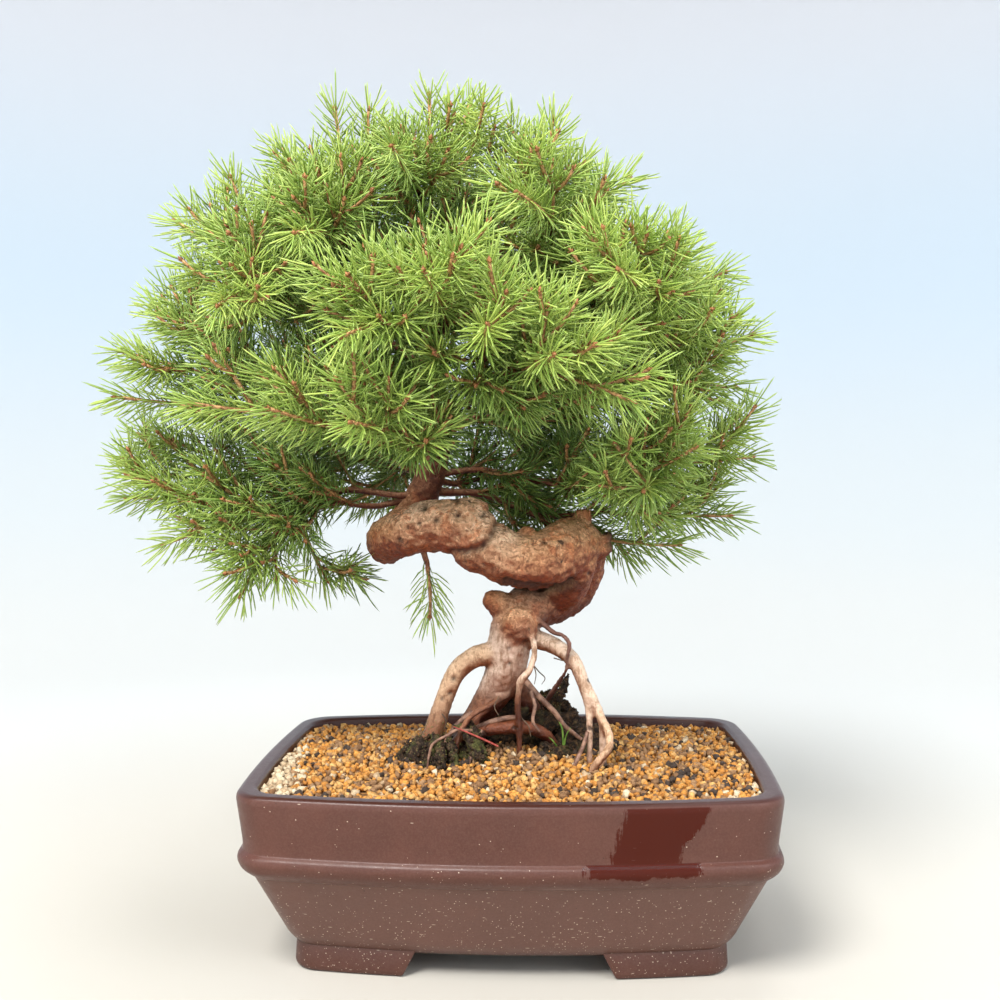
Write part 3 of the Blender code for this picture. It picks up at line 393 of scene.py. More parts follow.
def stoneware():
    """Fired clay in cloudy patches, gritty towards the feet, paler lower down as painted light and darker on the
    feet as painted shade, damp inside and wet where it was splashed.
    """
    made, tree, shader, place = finish("unglazed stoneware", 0.5)
    x, y, height = node(tree, "SeparateXYZ", {0: place}).node.outputs
    colour = mixed(tree, ramp(tree, noise(tree, place, 38, 5), 0.35, 0.7), CLAY_DARK, CLAY)
    colour = mixed(tree, ramp(tree, noise(tree, place, 1100, 2), 0.3, 0.8, 0.0, 0.12), colour, CLAY_PALE)
    # Painted light: the lower wall, which leans in and faces down, is paler, as if lit from the floor
    lit_from_below = times(tree, ramp(tree, height, 51 * MM, 44 * MM, 0.0, 0.24),
                        ramp(tree, height, 10 * MM, 14 * MM))
    colour = mixed(tree, lit_from_below, colour, CLAY_PALE)

    low_down = ramp(tree, height, 66 * MM, 12 * MM, 0.05, 0.72)
    pale = flecks(tree, place, 350, 0.145, times(tree, low_down, 0.6))
    for scale, turn, pitch, size in GRIT_AND_FIBRES:
        pale = larger(tree, pale, flecks(tree, stretched(tree, place, scale, turn), pitch, size, low_down))
    colour = mixed(tree, times(tree, pale, 0.85), colour, GRIT)
    colour = mixed(tree, times(tree, flecks(tree, place, 190, 0.09, 0.18), 0.8), colour, DARK_SPECKS_AND_SHADE)
    edge = ramp(tree, node(tree, "NewGeometry", {}, "Pointiness"), 0.52, 0.60, 0, 0.45)
    colour = mixed(tree, edge, colour, CLAY_PALE)
    # Painted shade: the feet are darker, below the wall's foot
    colour = mixed(tree, ramp(tree, height, 13.4 * MM, 12.2 * MM, 0, 0.25), colour, DARK_SPECKS_AND_SHADE)

    damp = damp_inside(tree, place, height)
    colour = mixed(tree, damp, colour, DAMP_CLAY)
    wet = splash(tree, place, x, y, height)
    colour = mixed(tree, times(tree, wet, 0.93), colour, WET_CLAY)
    tree.links.new(colour, shader.inputs["Base Color"])
    dry = ramp(tree, noise(tree, place, 260, 4), 0.3, 0.7, 0.36, 0.50)
    gloss = node(tree, "Mix", {0: damp, 2: dry, 3: 0.24})
    gloss = node(tree, "Mix", {0: wet, 2: gloss, 3: 0.09})
    tree.links.new(gloss, shader.inputs["Roughness"])
    beaded = times(tree, ramp(tree, height, NECK - 2.2 * MM, NECK - 1.2 * MM),
                   ramp(tree, height, NECK, NECK - MM))
    shine = node(tree, "Mix", {0: beaded, 2: 0.13, 3: 1.0})
    shine = node(tree, "Mix", {0: wet, 2: 0.42, 3: shine})
    tree.links.new(shine, shader.inputs["Specular IOR Level"])
    relief_height = swayed(tree, noise(tree, place, 1500, 3), pale, 0.5)
    bumped(tree, shader, times(tree, relief_height, ramp(tree, wet, 0, 1, 1, 0.1)), 0.14 * MM, 0.5)
    return made


section = rounded(POT_SECTION)
pot = outline_plate("stoneware_pot", section[0].x, section[0].y)
draw_up(pot, section)
combined(pot, [pot_feet()], "UNION")
combined(pot, [drain_cutter(x) for x in (-DRAIN_X, DRAIN_X)], "DIFFERENCE")
bpy.ops.object.shade_smooth_by_angle(angle=SMOOTH_BELOW)
pot.data.materials.append(stoneware())
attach(pot, "root")
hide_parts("pot")


# Drainage screens and clips
# Squares of black moulded plastic mesh lie over the two drain holes, and keep the soil in. A bent length of
# soft aluminium wire goes through each, down the hole, and is turned outwards under the pot. The solids of
# the frame have their true shape, so they only get their finish.


def screen_plastic():
    made, tree, shader, place = finish("moulded screen plastic", 0.42)
    colour, grain = mottled(tree, place, 260, (0.012, 0.012, 0.013), (0.06, 0.045, 0.03))
    tree.links.new(colour, shader.inputs["Base Color"])
    bumped(tree, shader, grain, 0.08 * MM)
    return made


def clip_wire():
    made, tree, shader, place = finish("annealed aluminium wire", 0.38)
    shader.inputs["Metallic"].default_value = 1
    drawn = noise(tree, stretched(tree, place, (1, 1, 0.1)), 1400, 3)
    colour = mixed(tree, drawn, (0.20, 0.115, 0.075), (0.36, 0.23, 0.15))
    tree.links.new(colour, shader.inputs["Base Color"])
    bumped(tree, shader, drawn, 0.05 * MM)
    return made


for names, look, slot in ((("drain_screen_left", "drain_screen_right"), screen_plastic(), "plastic"),
                          (("screen_clip_left", "screen_clip_right"), clip_wire(), "wire")):
    for name in names:
        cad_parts[name].data.materials.clear()
        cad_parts[name].data.materials.append(look)


# Soil
# The pot is filled to its rim with a hard, grainy bonsai mix: baked orange and tan clay granules, with brown
# and black ones of lava and crushed pine bark and a few pale pumice stones, 2 to 4 mm each. The bed below
# is made of its fines, and the loose granules lie on it one by one, in two layers.

SOIL_EDGE = 79.3 * MM
MOUND_MIDDLE = Vector((-2, 2, 0)) * MM + pot_middle
MOUND_RISE, MOUND_SPREAD = 5.5 * MM, 42 * MM
BED_BELOW = 1.2 * MM  # the fines lie this far under the granules' own level
BED_RINGS = 9
WALL_GAP = 0.3 * MM
GRANULE_PITCH = 3.1 * MM
GRANULE_SIZES = (1.0, 2.15)  # radius, mm
GRANULE_LEVELS = (-0.4, 0.9)  # of the two layers' middles over the level, mm
LAYER_SHARES = (0.62, 0.92)
BACK_DROP = 2.6 * MM  # how much lower the soil lies at the back wall
# Colour, share of all, largest size as a share
GRANULE_KINDS = (
    ("granules_orange", (0.80, 0.355, 0.068), 0.42, 1.0),
    ("granules_tan", (0.84, 0.475, 0.155), 0.27, 0.95),
    ("granules_brown", (0.40, 0.22, 0.10), 0.23, 1.05),
    ("granules_black", (0.075, 0.048, 0.034), 0.05, 1.15),
    ("granules_pale", (0.90, 0.70, 0.47), 0.03, 1.15),
)
# x, y and reach in mm of the patches where one kind gathers, which kind, and its share there
GATHERINGS = (
    (-107, -52, 12, 4, 0.95), (-99, -60, 10, 4, 0.9), (-110, -36, 12, 4, 0.95), (-110, -19, 11, 4, 0.9),
    (-111, -3, 10, 4, 0.8), (-112, 14, 8, 4, 0.7), (-113, 34, 8, 4, 0.6),
    (101, -66, 11, 4, 0.55), (109, -52, 7, 4, 0.4), (81, -32, 9, 3, 0.4), (98, -52, 7, 3, 0.35),
    (-44, -9, 15, 3, 0.45), (-30, -14, 14, 3, 0.5), (22, 6, 17, 3, 0.55), (0, -6, 22, 2, 0.5),
    (-80, 10, 12, 2, 0.45), (-60, -50, 10, 2, 0.4), (52, -40, 12, 2, 0.4), (70, 20, 14, 2, 0.4),
)


def soil_level(x, y):
    away = math.hypot(x - MOUND_MIDDLE.x, y - MOUND_MIDDLE.y) / MOUND_SPREAD
    backwards = min(max((y - pot_middle.y) / (POT_WIDTH / 2), 0), 1)
    return SOIL_EDGE + MOUND_RISE * math.exp(-away ** 2) - BACK_DROP * backwards ** 2


def wall_inset(height):
    """How far the pot's inner face lies in from its widest outline at a height."""
    rows = sorted((row[1] * MM, row[0] * MM) for row in POT_SECTION[-5:])
    return float(np.interp(height, [row[0] for row in rows], [row[1] for row in rows]))


def copies(pattern, turns, places):
    """Corners and triangles of many copies of a mesh, each turned and sized by a matrix and put at a place."""
    pattern.calc_loop_triangles()
    corners = np.array([vertex.co for vertex in pattern.vertices])
    faces = np.array([triangle.vertices for triangle in pattern.loop_triangles])
    moved = np.einsum("nij,kj->nki", turns, corners) + places[:, None, :]
    first = np.arange(len(places))[:, None, None] * len(corners)
    return moved.reshape(-1, 3), (faces[None] + first).reshape(-1, 3)


def joined_mesh(name, parts, materials):
    """One object from parts, each corners, triangles, material number and a tint for each corner."""
    counts = np.cumsum([0] + [len(part[0]) for part in parts])
    corners = np.concatenate([part[0] for part in parts])
    faces = np.concatenate([part[1] + count for part, count in zip(parts, counts)])
    numbers = np.concatenate([np.full(len(part[1]), part[2]) for part in parts])
    tints = np.concatenate([part[3] for part in parts])
    mesh = bpy.data.meshes.new(name)
    mesh.vertices.add(len(corners))
    mesh.vertices.foreach_set("co", corners.astype(np.float32).ravel())
    mesh.loops.add(faces.size)
    mesh.loops.foreach_set("vertex_index", faces.astype(np.int32).ravel())
    mesh.polygons.add(len(faces))
    mesh.polygons.foreach_set("loop_start", np.arange(0, faces.size, 3, dtype=np.int32))
    mesh.update(calc_edges=True)
    for look in materials:
        mesh.materials.append(look)
    mesh.polygons.foreach_set("material_index", numbers.astype(np.int32))
    colours = np.ones((len(corners), 4), np.float32)
    colours[:, :3] = tints
    mesh.attributes.new("tint", "FLOAT_COLOR", "POINT").data.foreach_set("color", colours.ravel())
    mesh.shade_smooth()
    piece = bpy.data.objects.new(name, mesh)
    bpy.context.scene.collection.objects.link(piece)
    return piece


def random_turns(draw, count):
    """Random rotations, from unit quaternions."""
    four = draw.normal(size=(count, 4))
    w, x, y, z = (four / np.linalg.norm(four, axis=1, keepdims=True)).T
    rows = ((1 - 2 * (y * y + z * z), 2 * (x * y - z * w), 2 * (x * z + y * w)),
            (2 * (x * y + z * w), 1 - 2 * (x * x + z * z), 2 * (y * z - x * w)),
            (2 * (x * z - y * w), 2 * (y * z + x * w), 1 - 2 * (x * x + y * y)))
    return np.array(rows).transpose(2, 0, 1)


def granule_pattern(seed, shape):
    """A broken crumb with uneven corners."""
    bpy.ops.mesh.primitive_ico_sphere_add(subdivisions=1, radius=1)
    crumb = bpy.context.object
    crumb.scale = shape
    settle(crumb)
    in_edit_mode(("VERT", lambda vertex: True),
                 lambda: bpy.ops.transform.vertex_random(offset=0.36, uniform=1.0, seed=seed))
    mesh = crumb.data
    bpy.data.objects.remove(crumb)
    return mesh


def shaded(tree, share, first, second):
    """A colour multiplied by another one, by a share."""
    first, second = ((*c, 1) if isinstance(c, tuple) else c for c in (first, second))
    return node(tree, "Mix", {0: share, 6: first, 7: second}, 2, data_type="RGBA", blend_type="MULTIPLY")


def fines():
    made, tree, shader, place = finish("fines of the soil mix", 0.95)
    grains = cells(tree, place, 420)
    drawn = node(tree, "SeparateColor", {0: grains["Color"]})
    colour = mixed(tree, ramp(tree, drawn, 0.2, 0.9), (0.16, 0.08, 0.03), (0.60, 0.30, 0.09))
    tree.links.new(colour, shader.inputs["Base Color"])
    bumped(tree, shader, grains["Distance"], -0.5 * MM)
    return made


def granule_clay(name, colour):
    """Baked clay with a dusty, pitted face; tint's red shifts each crumb's shade."""
    made, tree, shader, place = finish(name.replace("_", " "), 0.8)
    tint = node(tree, "SeparateColor", {0: node(tree, "Attribute", {}, attribute_name="tint")})
    darker = tuple(c * share for c, share in zip(colour, (0.62, 0.55, 0.48)))
    lighter = tuple(min(c * share, 0.92) for c, share in zip(colour, (1.08, 1.12, 1.18)))
    shade = mixed(tree, tint, darker, lighter)
    pitted, grain = mottled(tree, place, 900, (0.34, 0.28, 0.21), (1, 1, 1))
    shade = shaded(tree, 0.55, shade, pitted)
    tree.links.new(shade, shader.inputs["Base Color"])
    bumped(tree, shader, grain, 0.3 * MM)
    return made


bed_section = [Vector((wall_inset(z) + WALL_GAP, z + WALL_GAP)) for z in (18 * MM, 20.5 * MM, 50 * MM)]
bed_section.append(Vector((wall_inset(SOIL_EDGE) + WALL_GAP, SOIL_EDGE - BED_BELOW)))
rim_inset = bed_section[-1].x
for ring in range(1, BED_RINGS):
    share = 1 - (ring / BED_RINGS) ** 1.2
    bed_section.append(Vector((POT_WIDTH / 2 - (POT_WIDTH / 2 - rim_inset) * share, SOIL_EDGE - BED_BELOW)))
bed = outline_plate("soil_fines", bed_section[0].x, bed_section[0].y)
draw_up(bed, bed_section)
for vertex in bed.data.vertices:
    if vertex.co.z > SOIL_EDGE - 2 * BED_BELOW:
        vertex.co.z += soil_level(vertex.co.x, vertex.co.y) - SOIL_EDGE
bpy.ops.object.shade_smooth_by_angle(angle=SMOOTH_BELOW)
bed.data.materials.append(fines())
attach(bed, "root")
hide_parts("soil")

draw = np.random.default_rng(11)
half_x = POT_LENGTH / 2 - wall_inset(SOIL_EDGE)
half_y = POT_WIDTH / 2 - wall_inset(SOIL_EDGE)
grid = np.array([(x + (row % 2) * GRANULE_PITCH / 2, y)
                 for row, y in enumerate(np.arange(-half_y, half_y, GRANULE_PITCH * 0.87))
                 for x in np.arange(-half_x, half_x, GRANULE_PITCH)])
crumbs = []
for layer, rise in enumerate(GRANULE_LEVELS):
    spots = grid + draw.uniform(-0.45, 0.45, grid.shape) * GRANULE_PITCH
    spots = spots[draw.random(len(spots)) < LAYER_SHARES[layer]]
    sizes = (GRANULE_SIZES[0] + (GRANULE_SIZES[1] - GRANULE_SIZES[0]) * draw.random(len(spots)) ** 1.6) * MM
    for (x, y), size in zip(spots, sizes):
        reach_x = half_x - size - END_BOW * (y / half_y) ** 2
        reach_y = half_y - size - SIDE_BOW * (x / half_x) ** 2
        corner = max(abs(x) - (half_x - POT_CORNER), 0) ** 2 + max(abs(y) - (half_y - POT_CORNER), 0) ** 2
        if abs(x) < reach_x and abs(y) < reach_y and corner < (POT_CORNER - size) ** 2:
            level = soil_level(x + pot_middle.x, y + pot_middle.y)
            crumbs.append((x + pot_middle.x, y + pot_middle.y, level + rise * MM, size))
crumbs = np.array(crumbs)
shares = np.array([kind[2] for kind in GRANULE_KINDS])
chosen = draw.choice(len(GRANULE_KINDS), size=len(crumbs), p=shares / shares.sum())
for x, y, reach, kind, share in GATHERINGS:
    away = np.hypot(crumbs[:, 0] - pot_middle.x - x * MM, crumbs[:, 1] - pot_middle.y - y * MM)
    near = away < reach * MM * draw.uniform(0.6, 1.2, len(crumbs))
    chosen[near & (draw.random(len(crumbs)) < share)] = kind
patterns = [granule_pattern(seed, shape)
            for seed, shape in ((3, (1, 0.85, 0.75)), (8, (1, 0.95, 0.85)), (14, (1.15, 0.8, 0.7)),
                                (21, (0.95, 0.9, 0.9)))]
for number, (name, colour, _, largest) in enumerate(GRANULE_KINDS):
    look = granule_clay(name, colour)
    parts = []
    for k, pattern in enumerate(patterns):
        rows = crumbs[(chosen == number) & (np.arange(len(crumbs)) % len(patterns) == k)]
        turns = random_turns(draw, len(rows)) * (rows[:, 3] * largest)[:, None, None]
        corners, faces = copies(pattern, turns, rows[:, :3])
        shade = np.repeat(draw.random((len(rows), 1)), len(pattern.vertices), axis=0)
        parts.append((corners, faces, 0, np.repeat(shade, 3, axis=1)))
    granules = joined_mesh(name, parts, [look])
    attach(granules, "root")


# Trunk
# The living wood, grown in one piece: roots that now stand bare like stilts, smooth and pinkish tan, the stem
# that was wired into a flat coil of flaky beige bark, red-brown below and darker there in painted shade, and the
# dark red-brown leader with cut stubs, limbs and twigs. Tables give x, y, z and radius in mm from the pot's middle.

STEM = (
    (-33, 4, 69, 4.2), (-29, 4, 81, 5.0), (-23, 4, 91, 5.8), (-11, 2, 108, 7.8), (-3.5, 0, 123, 9.6),
    (-1, 0, 137, 10.8), (2.5, 2, 147, 11.3), (8, 8, 152, 11.6), (15, 16, 153.5, 12.0), (23, 24, 156, 12.6),
    (30, 28, 163, 13.2), (33, 22, 173.5, 13.4), (31, 9, 181.5, 13.6), (25, -5, 181, 14.0),
    (15, -13, 176.5, 14.0), (3, -16, 176.5, 13.4), (-9.6, -15, 182.5, 12.7), (-21.5, -12, 191, 13.4),
    (-34.5, -10, 193, 12.4), (-48, -6, 190.5, 11.9), (-58.5, 3, 186, 10.9), (-62.5, 16, 184, 10.3),
    (-60, 28.5, 187, 9.9), (-53, 35, 195.5, 9.4), (-47, 34, 205, 8.6),
)
LEADER = (
    (-53, 35, 195.5, 9.0), (-47, 34, 205, 8.4), (-42, 31, 216.5, 7.4), (-38, 28, 229, 6.4),
    (-36.5, 25, 244, 5.6), (-38, 22, 264, 4.7), (-39.5, 20, 288, 3.9), (-39, 18, 317, 3.0),
    (-39, 17, 340, 2.2),
)
ROOTS = (
    ((-2, 0, 131, 6.0), (-12, -3, 131, 5.6), (-20, -5, 128.5, 5.1), (-27, -6, 122, 4.7),
     (-32.5, -7, 109.5, 4.5), (-37.5, -8, 94, 4.8), (-41, -8, 84.5, 4.9), (-43, -8, 71, 3.2)),
    ((8, -4, 143, 1.9), (10.5, -12.5, 138, 1.7), (10.8, -13.5, 132, 1.6), (8.6, -15, 125.5, 1.7),
     (4.6, -15, 120.4, 2.0), (3.4, -14.5, 116, 1.6)),
    ((3, 0, 140, 5.0), (16, -4, 137, 4.5), (24, -8, 133.5, 4.0), (30, -11, 128, 3.6), (34, -13, 118, 2.8),
     (36.4, -14, 106, 1.9), (36.7, -16, 90, 1.6), (35.8, -16, 71, 1.5)),
    ((31, -11, 125, 2.8), (38.5, -14.5, 111.5, 2.3), (42.5, -16.5, 101, 2.1), (42.8, -17, 88, 2.0),
     (42, -17, 71, 1.7)),
    ((41, -17, 105, 1.9), (45, -21, 98, 2.0), (45, -25, 91, 2.0), (39, -27, 84, 1.9), (33, -27, 74, 1.4)),
    ((8, 0, 147.5, 1.6), (12.5, -4, 147.5, 1.5), (16.5, -7, 144.8, 1.4), (20, -10, 142.4, 1.3),
     (24, -13, 141.6, 1.2), (26.9, -15, 139, 1.2), (27.2, -15.5, 135, 1.1), (26, -15, 131, 0.9),
     (25.6, -13, 125, 0.9), (22.8, -8, 119, 1.3), (18.8, -3, 112, 1.5), (15, 2, 105, 1.5)),
    ((-1, 2, 124, 6.8), (4, 4, 111, 5.2), (12, 8, 101, 3.4), (20, 12, 95, 2.5), (28, 15, 88, 2.1),
     (34, 18, 73, 1.4)),
    ((-25, 3, 87, 3.0), (-19, -5, 92, 2.9), (-12, -9, 95.5, 3.1), (-3, -9, 97, 3.3), (6, -8, 97, 3.3),
     (13, -5, 94, 3.0), (19, -1, 88, 2.6), (24, 2, 74, 1.8)),
    ((-27, -17, 73, 1.4), (-26, -16, 90, 1.5), (-22.5, -15, 99, 1.5), (-17, -14, 105, 1.5),
     (-10, -11, 108, 1.6), (-2, -4, 112, 2.0)),
    ((4.2, -14.8, 119, 1.5), (3, -14.5, 111, 1.7), (3.3, -13, 100, 1.6), (3.6, -12, 90, 1.5),
     (3.5, -11, 72, 1.3)),
    ((-2, -2, 118, 3.4), (-12, -4, 106, 3.0), (-21, -5, 96, 2.6), (-29, -6, 86, 2.4), (-33, -7, 73, 1.8)),
)
STUBS = (
    ((30, 6, 184, 5.6), (33.5, 7, 193, 5.0), (34.5, 7, 198.5, 4.0), (34.5, 7, 200, 2.2)),
    ((40, 8, 183, 3.6), (47, 8, 186.5, 2.6), (48.6, 8, 186.8, 1.5)),
    ((42, 6, 178, 3.2), (47.5, 6, 181.5, 2.2), (48.6, 6, 181.8, 1.2)),
    ((6, -12, 183, 5.0), (8, -13, 190, 4.2), (8.4, -13, 192.8, 2.4)),
    ((3, 4, 147, 9.0), (-5, 1, 154, 7.2), (-11, -1, 157.4, 4.8), (-13.4, -1.6, 158.6, 2.6)),
    ((-33, -10, 194, 11.6), (-23, -10, 197, 10.2), (-16, -10, 197.8, 8.6), (-12.6, -10, 196.6, 5.6)),
    ((2, -4, 146, 9.0), (4, -7, 144.5, 8.6), (5, -10, 143, 6.4), (5.4, -11.6, 142.4, 3.4)),
    ((-30, -11, 193.5, 12.2), (-22, -12, 193.5, 12.6), (-16.5, -12.5, 193, 11.0), (-14, -13, 192.5, 7.4)),
    ((-9.6, -15, 181.5, 12.2), (-18, -14, 180.5, 9.5), (-25, -12, 181, 5.5)),
    ((28, -2, 178, 13.0), (28, 3, 170, 12.2), (25.5, 9, 163, 11.4), (21, 14, 158, 10.6)),
)
# Limbs: where each leaves the leader, by height or as a point, its radius, how far it arches as a share of
# its length, and the tips of its boughs, the limb's own end first
LIMBS = (
    (206, 2.6, -0.02, ((-201, 20, 206), (-204, 38, 226))),
    (203, 2.3, 0.10, ((-180, 14, 182), (-135, -8, 156), (-92, 20, 158))),
    ((-42, -8, 184), 1.9, -0.10, ((-38, -10, 144),)),
    (208, 2.8, -0.06, ((114, 25, 195), (86, 5, 181), (62, 32, 173))),
    (216, 2.3, -0.03, ((124, 22, 225), (86, -55, 230), (60, -66, 210))),
    (224, 2.8, 0.02, ((-59, -116, 240), (-96, -104, 246), (-138, -74, 250))),
    (232, 2.9, 0.02, ((-201, 15, 281), (-197, -4, 256), (-190, 36, 309))),
    (240, 3.2, -0.03, ((123, 15, 286), (116, 24, 260), (92, -56, 290))),
    (250, 2.6, 0.03, ((23, -119, 265), (-4, -124, 277), (56, -98, 246))),
    (268, 2.4, -0.04, ((-173, 20, 347), (-139, 3, 366), (-117, -94, 287))),
    (274, 2.3, -0.04, ((109, 10, 315), (84, 17, 338), (47, -100, 300))),
    (258, 2.3, 0.04, ((-28, -124, 298), (-62, -122, 272))),
    (298, 2.0, -0.06, ((-117, 15, 382), (-87, 8, 400), (-86, -90, 317))),
    (304, 2.0, -0.06, ((63, 20, 364), (24, 8, 393), (6, -86, 334))),
    (322, 1.9, -0.06, ((-19, 32, 409), (-48, -72, 358), (-8, -34, 387))),
)
LEADER_TIP = (-39, 12, 407)
CROWN_MIDDLE = Vector((-40, 18, 262)) * MM + pot_middle
CROWN_HALF = Vector((164, 132, 148)) * MM
BACK_ROWS = ((-14, 4, 214), (14, 4, 246), (44, 3, 292))  # rise in degrees, boughs, height on the leader
BACK_FIRST, BACK_LAST = 26, 154
BACK_STAGGER = 6
BACK_LIMB = (2.3, -0.03)
BACK_SPACING = 8
FORK_PLACES = (0.45, 0.75)
FORK_STEP = 3 * MM
FORK_CURVE = (0.2, 0.3)
LIMB_THINNESS, WANDER = 0.72, 0.045  # of the limbs' radii, and how far a limb strays as a share of its length
BENDS = (0.09, -0.09, 0.0, 0.16, -0.16, 0.24, -0.24, 0.32, -0.32)
TIP_INSET = 6.5 * MM
SHOOT_LENGTH = 56 * MM
SHORTEST_WOOD = 12 * MM
TWIG_FOOT = 1.35
TWIG_RADIUS = 1.05
UP = Vector((0, 0, 1))
STEM_STEPS, ROOT_STEPS, STUB_STEPS = 6, 5, 4  # points from one row of a table to the next


def at(point):
    """A place given in mm from the pot's middle, in metres in the frame."""
    return Vector(point[:3]) * MM + pot_middle


def smooth_through(rows, steps):
    """Rows of place and radius along a smooth curve through the given ones."""
    given = np.array(rows, float)
    padded = np.vstack([2 * given[0] - given[1], given, 2 * given[-1] - given[-2]])
    curve = []
    for k in range(len(given) - 1):
        before, start, end, after = padded[k:k + 4]
        for step in range(steps):
            t = step / steps
            curve.append(0.5 * (2 * start + (end - before) * t
                                + (2 * before - 5 * start + 4 * end - after) * t ** 2
                                + (3 * start - before - 3 * end + after) * t ** 3))
    curve.append(given[-1])
    return np.array(curve)


def arch(start, control, end, count=12):
    shares = [k / count for k in range(count + 1)]
    return [start * (1 - t) ** 2 + control * 2 * t * (1 - t) + end * t ** 2 for t in shares]


def path_length(path):
    return sum((b - a).length for a, b in zip(path, path[1:]))


def cut_path(path, length):
    """The path up to that length along it, and the rest; both hold the point between them."""
    run = 0
    for k in range(len(path) - 1):
        step = (path[k + 1] - path[k]).length
        if run + step > length:
            middle = path[k].lerp(path[k + 1], (length - run) / step)
            return path[:k + 1] + [middle], [middle] + path[k + 1:]
        run += step
    return path, [path[-1]]


def back_limbs():
    """Limbs of the side that faces away: rows of boughs that end on the crown's rounded envelope."""
    made = []
    for rise, count, height in BACK_ROWS:
        tips = []
        for k in range(count):
            turn = math.radians(BACK_FIRST + (BACK_LAST - BACK_FIRST) * (k + 0.5) / count)
            level = math.radians(rise + (BACK_STAGGER if k % 2 else -BACK_STAGGER))
            around = (math.cos(level) * math.cos(turn), math.cos(level) * math.sin(turn), math.sin(level))
            tip = [CROWN_MIDDLE[axis] + CROWN_HALF[axis] * around[axis] for axis in range(3)]
            tips.append((Vector(tip) - pot_middle) / MM)
        half = (count + 1) // 2
        made.append((height, *BACK_LIMB, tips[:half]))
        made.append((height + BACK_SPACING, *BACK_LIMB, tips[half:]))
    return tuple(made)


def wandering(path, draw):
    """The path with a few soft bends, its two ends where they were."""
    onward = (path[-1] - path[0]).normalized()
    level = onward.cross(UP).normalized()
    high = level.cross(onward)
    first, second = draw.uniform(0, 2 * math.pi, 2)
    strayed = []
    for k, point in enumerate(path):
        share = k / (len(path) - 1)
        swing = math.sin(math.pi * share) * path_length(path) * WANDER
        stray = level * math.sin(6 * share + first) + high * math.sin(8 * share + second)
        strayed.append(point + stray * swing)
    return strayed


def lay_boughs():
    """Wood path, foot radius in mm and shoot path of each bough, bent as its solid in the frame is."""
    trunk_line = smooth_through(LEADER, STEM_STEPS)
    draw = np.random.default_rng(5)
    boughs = []
    for origin, radius, lift, tips in LIMBS + back_limbs():
        if isinstance(origin, (int, float)):
            root = at(min(trunk_line, key=lambda row: abs(row[2] - origin)))
        else:
            root = at(origin)
        limb = None
        for order, tip in enumerate(tips):
            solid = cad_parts[f"spray_{len(boughs) + 1:02d}"].data
            surface = BVHTree.FromPolygons([vertex.co for vertex in solid.vertices],
                                           [face.vertices for face in solid.polygons])
            start = root
            if limb:
                run = path_length(limb) * FORK_PLACES[order - 1]
                start = cut_path(limb, run)[1][0]
                onward = (cut_path(limb, run + FORK_STEP)[1][0] - start).normalized()
            end = at(tip)
            end -= (end - start).normalized() * TIP_INSET
            span = (end - start).length
            across = (end - start).cross(UP).normalized()
            best = None
            for bend in BENDS:
                control = start.lerp(end, FORK_CURVE[0] if limb else 0.5)
                if limb:
                    control += onward * span * FORK_CURVE[1]
                control = control + UP * span * lift + across * span * (bend if order % 2 else -bend)
                path = arch(start, control, end)
                wood, shoot = cut_path(path, max(path_length(path) - SHOOT_LENGTH, SHORTEST_WOOD))
                off = sum(surface.find_nearest(point)[3] for point in shoot[1:])
                if best is None or off < best[0]:
                    best = (off, wood, shoot)
            wood = wandering(best[1], draw)
            boughs.append((wood, TWIG_FOOT if limb else max(radius * LIMB_THINNESS, TWIG_FOOT), best[2]))
            limb = limb or wood
    top, tip = at(LEADER[-1]), at(LEADER_TIP) - UP * TIP_INSET
    wood, shoot = cut_path([top, tip], (tip - top).length - SHOOT_LENGTH)
    boughs.append((wood, LEADER[-1][3], shoot))
    return boughs


boughs = lay_boughs()

# The last value of each is how flaky that bark is
PALE_ROOT, WHITE_ROOT, PINK_STEM = (0.68, 0.43, 0.26, 0.4), (0.82, 0.58, 0.42, 0.3), (0.80, 0.58, 0.45, 0.25)
RUST_ROOT, DARK_ROOT, WET_ROOT = (0.34, 0.14, 0.065, 0.55), (0.20, 0.085, 0.058, 0.4), (0.50, 0.20, 0.085, 0.5)
# The bark of the lower turn, under the coil's upper turn, is painted darker as shade
COIL_BARK, SHADED_UNDER_COIL = (0.58, 0.26, 0.115, 1), (0.40, 0.17, 0.08, 1)
ARM_BARK, UPPER_BARK = (0.70, 0.37, 0.20, 1), (0.30, 0.118, 0.055, 0.9)
CUT_WOOD, BURL, BLACK_KNOB = (0.52, 0.19, 0.07, 0.6), (0.43, 0.20, 0.115, 0.8), (0.022, 0.012, 0.009, 0.5)
ROOT_COLOURS = (PALE_ROOT, WHITE_ROOT, WHITE_ROOT, WHITE_ROOT, PALE_ROOT, DARK_ROOT, RUST_ROOT, WET_ROOT,
                RUST_ROOT, RUST_ROOT, WET_ROOT)
STUB_COLOURS = (CUT_WOOD, BLACK_KNOB, BLACK_KNOB, CUT_WOOD, CUT_WOOD, ARM_BARK, BURL, ARM_BARK, COIL_BARK,
                COIL_BARK)
STUB_END_SHARE = 0.42  # of a stub's length, from where it has its own colour
# Rows of the stem's table where its colour changes
STEM_FOOT, STEM_TOP, UNDER_END, UPPER_COIL, COIL_END = 3.3, 5.5, 10, 15, 19
# Where the arm's blunt end overlaps the rest of the coil: x and z in mm, how deep and how wide the crease is,
# how much darker its painted shade is, and how far forward the wood it marks lies, mm
CREASE = ((-27, 181.5), (-20, 182), (-14, 184), (-10, 187.5), (-7.5, 191.5), (-6, 195.5))
CREASE_DEPTH, CREASE_WIDTH, CREASE_PAINTED_SHADE, CREASE_FRONT = 2.0 * MM, 1.7 * MM, 0.6, -8
